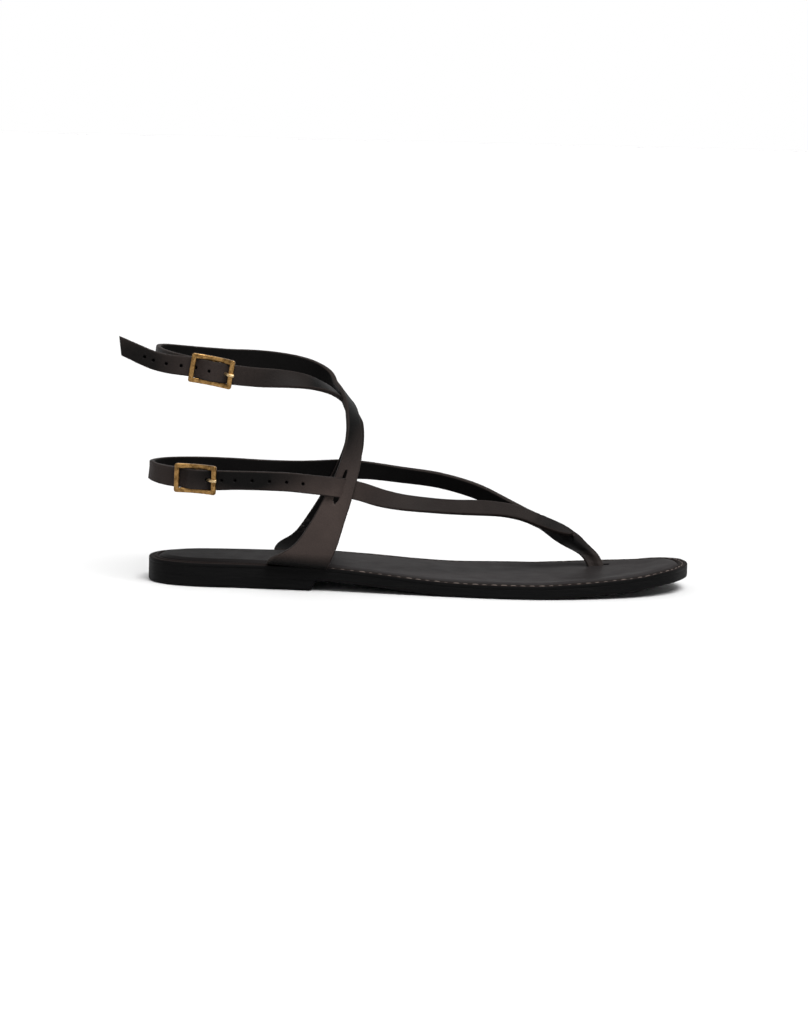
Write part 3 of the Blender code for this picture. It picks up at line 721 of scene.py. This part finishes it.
def makeStitching():
    # A thread that shows between two needle holes, again and again round the forefoot.
    near, far = soleHalves(700)
    ring, ways = inwards(near, far)
    inset = insole["channelAt"]
    path = [place + way * inset for place, way in zip(ring, ways)]
    path = evenly([place for place in path if place.x > stitching["from"]], stitching["pitch"] / 12)
    points, faces = [], []
    around, steps = stitching["around"], stitching["steps"]
    reach = round(12 * stitching["length"] / stitching["pitch"])
    for start in range(0, len(path) - 13, 12):
        first = len(points)
        odd = math.sin(start * 12.9898) * 43758.5453 % 1
        thick = stitching["radius"] * mix(0.75, 1.1, odd)
        for step in range(steps + 1):
            share = step / steps
            spot = start + share * reach * mix(0.7, 1.0, odd)
            i = int(spot)
            place = path[i].lerp(path[i + 1], spot - i)
            heading = (path[min(i + 2, len(path) - 1)] - path[max(i - 1, 0)]).normalized()
            side = Vector((-heading.y, heading.x, 0))
            full = math.sin(math.pi * min(max(0.08 + 0.84 * share, 0), 1)) ** 0.5
            sunk = stitching["dip"] * (2 * share - 1) ** 4
            height = insoleHeight(place.x, inset) + mix(0.1, 0.6, odd) * thick - sunk
            for k in range(around):
                a = 2 * math.pi * k / around
                out = side * math.cos(a) * full * thick
                rise = Vector((0, 0, height + math.sin(a) * full * thick))
                points.append(Vector((place.x, place.y, 0)) + out + rise)
        faces += skin(steps + 1, around, first=first) + caps(steps + 1, around, first)
    makePiece("sole_stitching", points, faces, [thread], "insole_leather")


makeStitching()
print("the sole is laid down")

# The straps

strap = {
    "width": 0.0091,
    "thickness": 0.0022,
    "overhang": 0.0078,
    "spreadAt": 0.284,
    "skived": 0.0012,
    "skivedRun": 0.016,
    "baseFall": 0.085,
    "innerTrim": 0.0050,
    "baseWidth": 0.0287,
    "lowerRise": 0.0412,
    "upperRise": 0.0930,
    "edgeRound": 0.00045,
    "step": 0.0009,
    "smoothing": 14,
}

# Share of the length, share of half the spread, share of the ring's rise, share of the strap's
# width, the way that the leather faces (0 to the toe, 90 inwards) and its tilt above level.
riserRows = (
    (0.277, 0.60, -0.001, 2.84, 90, -88), (0.277, 0.74, 0.002, 2.87, 90, -86),
    (0.278, 0.86, 0.012, 2.90, 90, -64), (0.281, 0.935, 0.028, 2.86, 90, -34),
    (0.288, 0.975, 0.049, 2.66, 90, -12), (0.299, 0.992, 0.076, 2.34, 90, 0),
    (0.314, 1.000, 0.125, 1.98, 90, 0),
    (0.335, 1.000, 0.253, 1.57, 90, 0), (0.350, 0.980, 0.356, 1.36, 90, 2),
    (0.363, 0.940, 0.457, 1.16, 86, 5), (0.3735, 0.865, 0.566, 1.04, 73, 8),
    (0.3765, 0.755, 0.680, 0.89, 55, 14),
)
lateralRingRows = (
    (0.3735, -0.620, 0.758, 0.85, -42, 26), (0.368, -0.370, 0.815, 0.93, -22, 36),
    (0.3565, -0.030, 0.857, 1.00, 2, 38), (0.343, 0.310, 0.876, 1.00, 28, 30),
    (0.325, 0.545, 0.918, 1.00, 50, 16), (0.294, 0.680, 0.960, 1.00, 66, 8),
    (0.250, 0.765, 0.988, 1.00, 81, 3), (0.192, 0.800, 1.004, 1.00, 90, 0),
    (0.130, 0.765, 1.008, 1.00, 99, 0), (0.060, 0.660, 1.022, 1.00, 118, 2),
    (0.0175, 0.440, 1.036, 1.00, 146, 6), (0.0075, 0.100, 1.038, 1.00, 181, 7),
    (0.021, -0.270, 1.030, 1.00, 209, 5), (0.049, -0.550, 1.018, 1.00, 235, 2),
)
medialRingRows = (
    (0.370, 0.570, 0.738, 1.00, 42, 26), (0.360, 0.320, 0.800, 1.00, 22, 36),
    (0.349, -0.010, 0.838, 0.94, -3, 50), (0.335, -0.330, 0.882, 0.84, -28, 55),
    (0.316, -0.555, 0.915, 0.80, -50, 54), (0.288, -0.710, 0.942, 0.85, -68, 42),
    (0.247, -0.800, 0.956, 0.94, -82, 24), (0.205, -0.845, 0.961, 1.00, -90, 8),
)
medialThongRows = (
    (0.792, 0.525, 0.252, 0.40, 72, 24), (0.786, 0.537, 0.262, 0.62, 72, 24),
    (0.760, 0.590, 0.336, 0.76, 72, 26),
    (0.716, 0.690, 0.448, 0.76, 74, 28), (0.665, 0.785, 0.588, 0.84, 78, 28),
    (0.605, 0.860, 0.752, 0.90, 82, 26), (0.535, 0.900, 0.866, 0.89, 86, 22),
    (0.465, 0.910, 0.918, 0.90, 90, 16), (0.405, 0.905, 0.960, 0.95, 92, 8),
    (0.372, 0.920, 0.968, 1.04, 92, 4), (0.352, 1.030, 0.957, 1.08, 92, 2),
    (0.328, 1.040, 0.952, 1.04, 91, 0), (0.300, 1.000, 0.950, 0.98, 90, 0),
    (0.260, 0.900, 0.950, 0.98, 91, 0), (0.200, 0.835, 0.960, 0.98, 96, 0),
    (0.140, 0.775, 0.980, 0.98, 103, 0), (0.080, 0.655, 0.995, 0.98, 117, 0),
    (0.030, 0.430, 1.005, 0.98, 141, 0), (0.004, 0.090, 1.010, 0.98, 173, 0),
    (0.007, -0.270, 1.010, 0.98, 206, 0), (0.034, -0.540, 1.005, 0.98, 233, 0),
)
lateralThongRows = (
    (0.788, 0.462, 0.318, 0.16, -60, 52), (0.784, 0.448, 0.326, 0.42, -60, 50),
    (0.776, 0.418, 0.345, 0.66, -58, 52), (0.757, 0.335, 0.394, 0.80, -56, 48),
    (0.724, 0.185, 0.484, 0.83, -54, 42), (0.685, 0.000, 0.592, 0.86, -54, 40),
    (0.645, -0.190, 0.654, 0.86, -54, 41), (0.605, -0.375, 0.684, 0.90, -56, 41),
    (0.560, -0.560, 0.706, 0.85, -62, 40), (0.515, -0.705, 0.737, 0.84, -70, 36),
    (0.465, -0.815, 0.776, 0.88, -78, 28), (0.425, -0.880, 0.830, 0.94, -86, 16),
    (0.390, -0.905, 0.900, 0.98, -91, 6), (0.364, -0.915, 0.930, 0.98, -92, 3),
    (0.348, -1.030, 0.952, 1.04, -92, 1), (0.328, -1.040, 0.965, 0.98, -91, 0),
    (0.300, -1.000, 0.975, 0.98, -89, 0), (0.262, -0.915, 0.986, 0.98, -90, 0),
    (0.215, -0.875, 0.988, 0.98, -94, 0), (0.172, -0.865, 0.988, 0.98, -98, 0),
)


def spread():
    return sum(halfWidths(strap["spreadAt"])) / 2 + strap["overhang"]


def placeAt(along, out, height):
    return Vector((along * shoe["soleLength"], out * spread(), height))


def facingOf(face, tilt):
    face, tilt = math.radians(face), math.radians(tilt)
    level = math.cos(tilt)
    return Vector((math.cos(face) * level, math.sin(face) * level, math.sin(tilt)))


# A station of a strap is its place, width, outward way and how level its width is measured.


def stationsOf(rows, rise, side=1):
    made = []
    for along, out, up, width, face, tilt in rows:
        place = placeAt(along, side * out, seat(0.0) + up * rise)
        made.append((place, width * strap["width"], facingOf(side * face, tilt), 0.0))
    return made


def riserStations(side):
    widest = max(row[3] for row in riserRows)
    made = []
    for row, station in zip(riserRows, stationsOf(riserRows, strap["upperRise"], side)):
        flare = max(0.0, (row[3] - 1) / (widest - 1))
        width = mix(strap["width"], strap["baseWidth"], flare) * min(row[3], 1.0)
        trim = strap["innerTrim"] * bump(row[2] - 0.045, 0.07) if side > 0 else 0.0
        place = station[0] + Vector((0.3 * trim, 0, 0))
        made.append((place, width - trim, station[2], min(1.0, 3 * flare)))
    return made


def between(stations, t):
    i = min(int(t), len(stations) - 2)
    t -= i
    last = len(stations) - 1
    a, b, c, d = (stations[min(max(k, 0), last)] for k in (i - 1, i, i + 1, i + 2))

    def blend(k):
        square = (2 * a[k] - 5 * b[k] + 4 * c[k] - d[k]) * t * t
        cube = (3 * b[k] - a[k] - 3 * c[k] + d[k]) * t ** 3
        return 0.5 * (2 * b[k] + (c[k] - a[k]) * t + square + cube)

    return blend(0), blend(1), blend(2).normalized(), mix(b[3], c[3], t)


def levelled(station):
    place, width, facing, level = station
    return place, width, facing.normalized(), level


def fineStations(stations, fixed=0):
    # Even steps along the strap with its kinks rubbed out, apart from the last few stations.
    dense = [between(stations, k / 24) for k in range(24 * (len(stations) - 1) + 1)]
    lengths = lengthsOf([station[0] for station in dense])
    steps = round(lengths[-1] / strap["step"])
    even = []
    for k, share in evenShares(lengths, steps):
        even.append(levelled(mix(a, b, share) for a, b in zip(dense[k], dense[k + 1])))
    held = lengths[-24 * fixed - 1] if fixed else lengths[-1]
    for _ in range(strap["smoothing"]):
        softer = even[:]
        for i in range(1, steps):
            if lengths[-1] * i / steps <= held:
                around = zip(*even[i - 1 : i + 2])
                softer[i] = levelled((a + b * 2 + c) / 4 for a, b, c in around)
        even = softer
    return even


def crossSection(width, thickness, rounding):
    # Points across and out, clockwise from the outer face's first edge, with their finish.
    half, thick = width / 2, thickness / 2
    flat = half - rounding
    faceShares = (-1.0, -0.86, -0.6, -0.3, 0.0, 0.3, 0.6, 0.86, 1.0)
    bend = 0.7071 * rounding
    side = [(share * flat, thick) for share in faceShares]
    side += [(flat + bend, thick - rounding + bend), (half, thick - rounding)]
    side += [(half, rounding - thick), (flat + bend, rounding - bend - thick)]
    kinds = [0] * 8 + [1] * 5 + [2] * 8 + [1] * 5
    return side + [(-across, -out) for across, out in side], kinds


leathers = [strapLeather, strapEdge, strapLining]


def makeStrap(name, stations, thickness=None, shapeOf=None, finishes=leathers, slant=0.0, fall=0.0):
    # thickness gives the leather's thickness at a run, shapeOf moves a point of the section out
    # or in, slant is how far the last end's upper corner stands ahead of its lower one, and fall
    # how steeply the level part goes down to the toe.
    runs = lengthsOf([station[0] for station in stations])
    points, uvs = [], []
    last = len(stations) - 1
    for i, (place, width, facing, level) in enumerate(stations):
        heading = (stations[min(i + 1, last)][0] - stations[max(i - 1, 0)][0]).normalized()
        square = heading.cross(facing).normalized()
        flat = Vector((0, 0, 1)).cross(facing)
        flat = flat.normalized() if flat.length > 1e-4 else square
        broad = square.lerp(flat, level).normalized()
        broad = (broad - Vector((0, 0, fall * level * broad.x))).normalized()
        outward = broad.cross(heading).normalized()
        thick = thickness(runs[i]) if thickness else strap["thickness"]
        section, kinds = crossSection(width, thick, min(strap["edgeRound"], 0.45 * thick))
        ahead = slant * smooth(1 - (runs[-1] - runs[i]) / 0.012) * math.copysign(1, broad.z)
        for across, out in section:
            share = 2 * across / width
            out += shapeOf(runs[i], share, out) if shapeOf else 0.0
            points.append(place + broad * across + outward * out + heading * ahead * share / 2)
            uvs.append((runs[i], share))
    count = len(section)
    faces = skin(len(stations), count) + caps(len(stations), count)
    worn = kinds * last + [1, 1]
    return makePiece(name, points, faces, finishes, "strap_leather", ["upper"], worn=worn, uvs=uvs)


# The buckles: share of the length, of half the spread and of the ring's rise, turn and dip.

buckle = {
    "length": 0.0209,
    "height": 0.0138,
    "bar": 0.0021,
    "railWidth": 0.0023,
    "square": 0.4,
    "arch": 0.0028,
    "prong": 0.0015,
    "prongShape": ((0.38, -0.05), (0.56, 0.0), (0.72, 0.42), (0.87, 0.90), (0.97, 1.0), (1.20, 0.97)),
    "fold": 0.0010,
    "upper": (0.1188, -0.805, 0.988, -9.0, 9.0, strap["upperRise"]),
    "lower": (0.0930, -0.755, 0.985, -17.0, 1.5, strap["lowerRise"]),
}


def buckleMatrix(row):
    along, out, up, turn, dip, rise = row
    place = placeAt(along, out, seat(0.0) + up * rise)
    return Matrix.Translation(place) @ rotated(turn, "Z") @ rotated(dip, "Y") @ rotated(90, "X")


def archAt(along):
    return buckle["arch"] * (2 * along / buckle["length"]) ** 2


def barClear():
    return buckle["bar"] / 2 + shoe["gap"]


def strapLift(along):
    over = barClear() + buckle["fold"] + strap["thickness"] / 2
    half = (buckle["length"] - buckle["bar"]) / 2
    under = archAt(half) - barClear() - strap["thickness"] / 2 - shoe["gap"] / 2
    return mix(over, under, smooth(abs(along) / (half - buckle["bar"] / 2)))


def localStations(matrix, places, width):
    facing = (matrix.to_3x3() @ Vector((0, 0, 1))).normalized()
    return [(matrix @ Vector((x, 0, z)), width, facing, 0.0) for x, z in places]


def fixedEnd(stations, row):
    level = -(barClear() + strap["thickness"] / 2)
    half = buckle["length"] / 2
    places = [(-0.75 * half, level), (-0.35 * half, level), (0.12 * half, level)]
    return stations + localStations(buckleMatrix(row), places, strap["width"])


def holedEnd(stations, row, tail):
    half = buckle["length"] / 2
    shares = [1 - k / 4 for k in range(9)]
    places = [(share * half, strapLift(share * half)) for share in shares]
    width = min(buckle["height"] - 2 * (buckle["bar"] + shoe["gap"]), strap["width"]) + 0.0003
    through = localStations(buckleMatrix(row), places, width)
    return stations + through + tailStations(through[-1], tail, row)


def tailStations(start, tail, row):
    length, flare, lifts, width = tail
    heading = (buckleMatrix(row).to_3x3() @ Vector((-1, 0, 0))).normalized()
    place, facing = start[0], start[2]
    made = []
    for step, lift in enumerate(lifts):
        turn = (rotated(flare, "Z") @ rotated(lift, "Y")).to_3x3()
        heading = turn @ heading
        facing = turn @ facing
        place = place + heading * length / len(lifts)
        made.append((place.copy(), mix(start[1], width, (step + 1) / len(lifts)), facing.copy(), 0.0))
    return made


# Length, turn outwards at each step, lift at each step and width at the end.
tails = {
    "upper": (0.0353, 1.5, (-5.0, 2.0, 6.0, 8.0, 3.0, 0.0), 0.0080),
    "lower": (0.020, -12.0, (1.5, 1.5, 1.5, 1.5), 0.0088),
    "slant": 0.0046,
}

holes = {
    "outer": 0.00095,
    "inner": 0.0003,
    # How far the punch is held back, as a share of its length, so that the lining stays whole.
    "lift": 0.13,
    # How far each punched hole lies from the buckle's centre bar, along the strap's free end.
    "lateral_thong": (-0.0513, -0.0432, -0.0351, -0.0270, -0.0189, -0.0126, -0.0054),
    "medial_strap": (0.0021, 0.0102, 0.0172, 0.0244, 0.0309, 0.0352),
}

# Creases: how far along from the buckle's bar or from the strap's start, lean, reach and depth.
creases = {
    "medial_strap": ((-0.0156, 0.0003, 0.0012, 0.00034), (-0.0190, 0.0003, 0.0020, 0.00014)),
    "lateral_thong": ((0.0225, -0.0024, 0.0011, 0.00030), (0.0270, -0.0030, 0.0025, 0.00012)),
}


def runsOf(stations, bar):
    # How far along each station lies, and how far the buckle's centre bar.
    runs = lengthsOf([station[0] for station in stations])
    nearest = min(range(len(stations)), key=lambda i: (stations[i][0] - bar).length)
    return runs, runs[nearest]


def punch(piece, stations, bar, distances):
    runs, middle = runsOf(stations, bar)
    cutters = []
    for number, distance in enumerate(distances):
        target = middle + distance
        i = min(range(len(runs)), key=lambda k: abs(runs[k] - target))
        place, facing = stations[i][0], stations[i][2]
        depth = 1.2 * strap["thickness"]
        matrix = aimed(place + facing * holes["lift"] * depth, facing, "Z")
        # A tapered punch, with its wide end outside.
        shaped = bmesh.new()
        bmesh.ops.create_cone(
            shaped, cap_ends=True, segments=24, depth=depth,
            radius1=holes["inner"], radius2=holes["outer"],
        )
        cutters.append(makeCutter(f"punch{number}", shaped, matrix))
    cutWith(piece, cutters)


slit = {
    "rise": 0.965,
    # Corners of the opening ahead of and above its middle, in the riser's own plane.
    "corners": (
        (0.0018, 0.0076), (0.0010, 0.0074), (0.0003, 0.0060), (-0.0004, 0.0040), (-0.0030, 0.0),
        (-0.0040, -0.0035), (-0.0045, -0.0072), (-0.0037, -0.0088), (-0.0020, -0.0068),
        (-0.0006, -0.0020), (0.0008, 0.0030), (0.0018, 0.0062),
    ),
}


def slitCutter(side):
    stations = riserStations(side)
    target = seat(0.0) + slit["rise"] * strap["lowerRise"]
    i = max(k for k, station in enumerate(stations) if station[0].z < target)
    low, high = stations[i][0], stations[i + 1][0]
    place = low.lerp(high, (target - low.z) / (high.z - low.z))
    shaped = bmesh.new()
    depth = 2.5 * strap["thickness"]
    corners = [shaped.verts.new((x, y, z)) for y in (-depth, depth) for x, z in slit["corners"]]
    count = len(slit["corners"])
    for face in skin(2, count) + caps(2, count):
        shaped.faces.new([corners[k] for k in face])
    bmesh.ops.recalc_face_normals(shaped, faces=shaped.faces[:])
    return makeCutter("slit", shaped, Matrix.Translation(place))


def skivedBase(run):
    return mix(strap["skived"], strap["thickness"], smooth(run / strap["skivedRun"]))


def creased(lines):
    # Creases over the outer face: where they lie, their slant, reach and depth.
    def shapeOf(run, share, out):
        deep = [depth * bump(run - at - lean * share, reach) for at, lean, reach, depth in lines]
        return -sum(deep) if out > 0 else 0.0

    return shapeOf


def makeStraps():
    lateral = riserStations(-1) + stationsOf(lateralRingRows, strap["upperRise"])
    medial = riserStations(1) + stationsOf(medialRingRows, strap["upperRise"])
    medialThong = stationsOf(medialThongRows, strap["lowerRise"])
    lateralThong = stationsOf(lateralThongRows, strap["lowerRise"])
    # Each strap's stations and how many at its end stay as they are.
    runs = {
        "lateral_strap": (fixedEnd(lateral, buckle["upper"]), 3),
        "medial_strap": (holedEnd(medial, buckle["upper"], tails["upper"]), 15),
        "medial_thong": (fixedEnd(medialThong, buckle["lower"]), 3),
        "lateral_thong": (holedEnd(lateralThong, buckle["lower"], tails["lower"]), 13),
    }
    made = {}
    for name, (stations, fixed) in runs.items():
        fine = fineStations(stations, fixed)
        risen = name.endswith("strap")
        bar = buckleMatrix(buckle["upper" if risen else "lower"]).translation
        start = runsOf(fine, bar)[1] if name == "medial_strap" else 0.0
        lines = [(start + at, *rest) for at, *rest in creases.get(name, ())]
        made[name] = makeStrap(
            name, fine, skivedBase if risen else None, creased(lines),
            slant=tails["slant"] if name == "medial_strap" else 0.0,
            fall=strap["baseFall"] if risen else 0.0,
        )
        if name in holes:
            punch(made[name], fine, bar, holes[name])
    cutWith(made["lateral_strap"], [slitCutter(-1)])
    cutWith(made["medial_strap"], [slitCutter(1)])


makeStraps()

post = {
    "thickness": 0.0042,
    "slit": (0.0090, 0.0022, 0.004),
    "slitAt": (0.8420, 0.620),
    # Share of the length, share of half the spread, height, and width, from its hidden foot up.
    "rows": (
        (0.8372, 0.620, 0.0052, 0.0078), (0.8344, 0.620, 0.0074, 0.0078),
        (0.8290, 0.618, 0.0104, 0.0081), (0.8222, 0.612, 0.0131, 0.0090),
        (0.8045, 0.598, 0.0162, 0.0121), (0.7847, 0.575, 0.0198, 0.0147),
        (0.7673, 0.552, 0.0238, 0.0163), (0.7545, 0.545, 0.0256, 0.0142),
        (0.7390, 0.545, 0.0279, 0.0110), (0.7225, 0.545, 0.0304, 0.0070),
    ),
    "creases": ((0.0062, -0.0016, 0.00045), (0.0086, -0.0026, 0.00050), (0.0125, -0.0030, 0.00020)),
}


def postRelief(run, share, out):
    # A soft ridge down the front edge, and creases where the leather bends into the sole.
    if out < 0:
        return 0.0
    ridge = 0.0006 * bump(share - 0.42, 0.45)
    hollow = -0.0005 * bump(share + 0.35, 0.7)
    crease = sum(
        depth * bump(run - place - slope * share, 0.0011) for place, slope, depth in post["creases"]
    )
    return ridge + hollow - crease * bump(share - 0.1, 1.0)


def makePost():
    facing = facingOf(-82, 4)
    stations = [(placeAt(*place), width, facing, 1.0) for *place, width in post["rows"]]
    makeStrap(
        "toe_post", fineStations(stations), lambda run: post["thickness"], postRelief,
        [postLeather, postLeather, strapLining],
    )
    along, out = post["slitAt"]
    place = placeAt(along, out, insoleHeight(along * shoe["soleLength"], 0.02))
    shaped = bmesh.new()
    bmesh.ops.create_cube(shaped, size=1)
    matrix = Matrix.Translation(place) @ Matrix.Diagonal((*post["slit"], 1))
    cutWith(insolePiece, [makeCutter("post_slit", shaped, matrix, 0)])


makePost()
print("the straps are cut")

# The buckles and their prongs


def makeBar(name, rings, closed, matrix, cadNodes, finish):
    # A closed skin over rings of points, all in a buckle's own frame.
    around = len(rings[0])
    points = [matrix @ point for ring in rings for point in ring]
    faces = skin(len(rings), around, closed) + ([] if closed else caps(len(rings), around))
    makePiece(name, points, faces, [finish], "brass", cadNodes)


roundTurns = [2 * math.pi * (k + 0.5) / 16 for k in range(16)]


def roundRings(path, thin, up=Vector((0, 0, 1))):
    rings = []
    for i, place in enumerate(path):
        heading = (path[min(i + 1, len(path) - 1)] - path[max(i - 1, 0)]).normalized()
        side = heading.cross(up).normalized() * thin
        over = side.cross(heading)
        rings.append([place + side * math.cos(a) + over * math.sin(a) for a in roundTurns])
    return rings


def frameRings():
    # Each corner fans out round its outer edge, and meets in one line at its inner one.
    wide = buckle["railWidth"] / 2
    deep = 0.85 * buckle["bar"] / 2
    long = buckle["length"] / 2 - wide
    high = buckle["height"] / 2 - wide
    stations = []
    for quarter, (sx, sy) in enumerate(((1, 1), (-1, 1), (-1, -1), (1, -1))):
        corner = Vector((sx * long, sy * high, 0))
        for turn in (0, 22, 45, 68, 90):
            a = math.radians(90 * quarter + turn)
            out = Vector((math.cos(a), math.sin(a), 0)) * wide
            stations.append((corner, out, Vector((-sx, -sy, 0)) * wide))
        heading = Vector((-out.y, out.x, 0)).normalized()
        side = 2 * (high if quarter % 2 else long)
        for k in range(9):
            stations.append((corner + heading * mix(1.3 * wide, side - 1.3 * wide, k / 8), out, -out))
    rings = []
    for place, out, back in stations:
        ring = []
        for a in roundTurns:
            way = (out if math.cos(a) > 0 else back) * abs(math.cos(a)) ** buckle["square"]
            over = math.copysign(abs(math.sin(a)) ** buckle["square"], math.sin(a)) * deep
            ring.append(place + way + Vector((0, 0, over + archAt(place.x))))
        rings.append(ring)
    return rings


def makeBuckle(which):
    matrix = buckleMatrix(buckle[which])
    nodes = [f"buckle_{which}"]
    makeBar(f"{which}_buckle_frame", frameRings(), True, matrix, nodes, brass)
    reach = (buckle["height"] - buckle["railWidth"]) / 2
    path = [Vector((0, mix(-reach, reach, k / 8), 0)) for k in range(9)]
    bar = roundRings(path, 0.375 * buckle["bar"])
    makeBar(f"{which}_buckle_bar", bar, False, matrix, nodes, brass)
    thin = buckle["prong"] / 2
    eye = barClear() + thin
    length = (buckle["length"] - buckle["bar"]) / 2
    over = archAt(length) + barClear() + thin
    turns = [math.radians(a) for a in range(150, 361, 15)]
    knots = [(eye * math.cos(a), 0, eye * math.sin(a)) for a in turns]
    knots += [(x * length, 0, z * over) for x, z in buckle["prongShape"]]
    prong = roundRings(curveThrough(knots, False, 0.0005), thin, Vector((0, 1, 0)))
    nodes = [f"prong_{which}"]
    makeBar(f"{which}_buckle_prong", prong, False, matrix, nodes, brightBrass)


makeBuckle("upper")
makeBuckle("lower")
print("the buckles are closed")

# The camera, the floor and the light

view = {
    "target": (0.0823, 0.0, 0.0348),
    "distance": 1.5,
    "elevation": 6.9,
    "roll": 0.024,
    "focalPixels": 3112.0,
    "frameHeight": 1024,
    "sensor": 36.0,
}


def makeCamera():
    camera = bpy.data.cameras.new("camera")
    camera.sensor_fit = "VERTICAL"
    camera.sensor_height = view["sensor"]
    camera.lens = view["focalPixels"] / view["frameHeight"] * view["sensor"]
    tip = math.radians(view["elevation"])
    look = Vector((0, math.cos(tip), -math.sin(tip)))
    roll = Matrix.Rotation(math.atan(view["roll"]), 4, "Z")
    place = Vector(view["target"]) - look * view["distance"]
    bpy.context.scene.camera = standUp("camera", camera, aimed(place, look) @ roll)


floorLook = {"white": 0.62, "radius": 100, "drop": 0.0002}


def makeFloor():
    finish = Finish("floor", 0.9, specular=0.1)
    finish.set("Base Color", (floorLook["white"],) * 3)
    shaped = bmesh.new()
    bmesh.ops.create_circle(shaped, cap_ends=True, segments=96, radius=floorLook["radius"])
    mesh = meshOf("floor", shaped)
    mesh.materials.append(finish.material)
    standUp("floor", mesh, Matrix.Translation((0, 0, -floorLook["drop"])))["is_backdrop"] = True


light = {
    # The studio's strength on the camera's side and behind the shoe, and where it changes.
    "studio": (0.30, 1.0),
    "change": (-0.2, 0.6),
    "sun": 4.4,
    "sunSpread": 40.0,
    "sunFrom": (0.40, -0.62, 1.05),
    "box": 3.0,
    "boxSize": 0.9,
    "boxFrom": (-0.45, -1.1, 0.75),
    "aim": (0.08, 0, 0.04),
}


def makeLights():
    # The studio is white behind the shoe and greyer on the camera's side, so black stays black.
    world = bpy.data.worlds.new("studio")
    world.use_nodes = True
    nodes, links = world.node_tree.nodes, world.node_tree.links
    way = nodes.new("ShaderNodeTexCoord")
    parts = nodes.new("ShaderNodeSeparateXYZ")
    ramp = nodes.new("ShaderNodeMapRange")
    for socket, value in enumerate(light["change"] + light["studio"], 1):
        ramp.inputs[socket].default_value = value
    links.new(way.outputs["Generated"], parts.inputs[0])
    links.new(parts.outputs["Y"], ramp.inputs["Value"])
    links.new(ramp.outputs[0], nodes["Background"].inputs["Strength"])
    nodes["Background"].inputs["Color"].default_value = (1, 1, 1, 1)
    bpy.context.scene.world = world
    bpy.context.scene.view_settings.view_transform = "Standard"
    for name, kind in (("sun", "SUN"), ("box", "AREA")):
        lamp = bpy.data.lights.new(name, kind)
        lamp.energy = light[name]
        place = Vector(light[f"{name}From"])
        standUp(name, lamp, aimed(place, Vector(light["aim"]) - place))
        if kind == "SUN":
            lamp.angle = math.radians(light["sunSpread"])
        else:
            lamp.size = light["boxSize"]


makeCamera()
makeFloor()
makeLights()
print("the camera and the lights are up")

boxes = {"cad": cadBox, "visual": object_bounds()}
{name: [list(map(float, c)) for c in box] for name, box in boxes.items()}
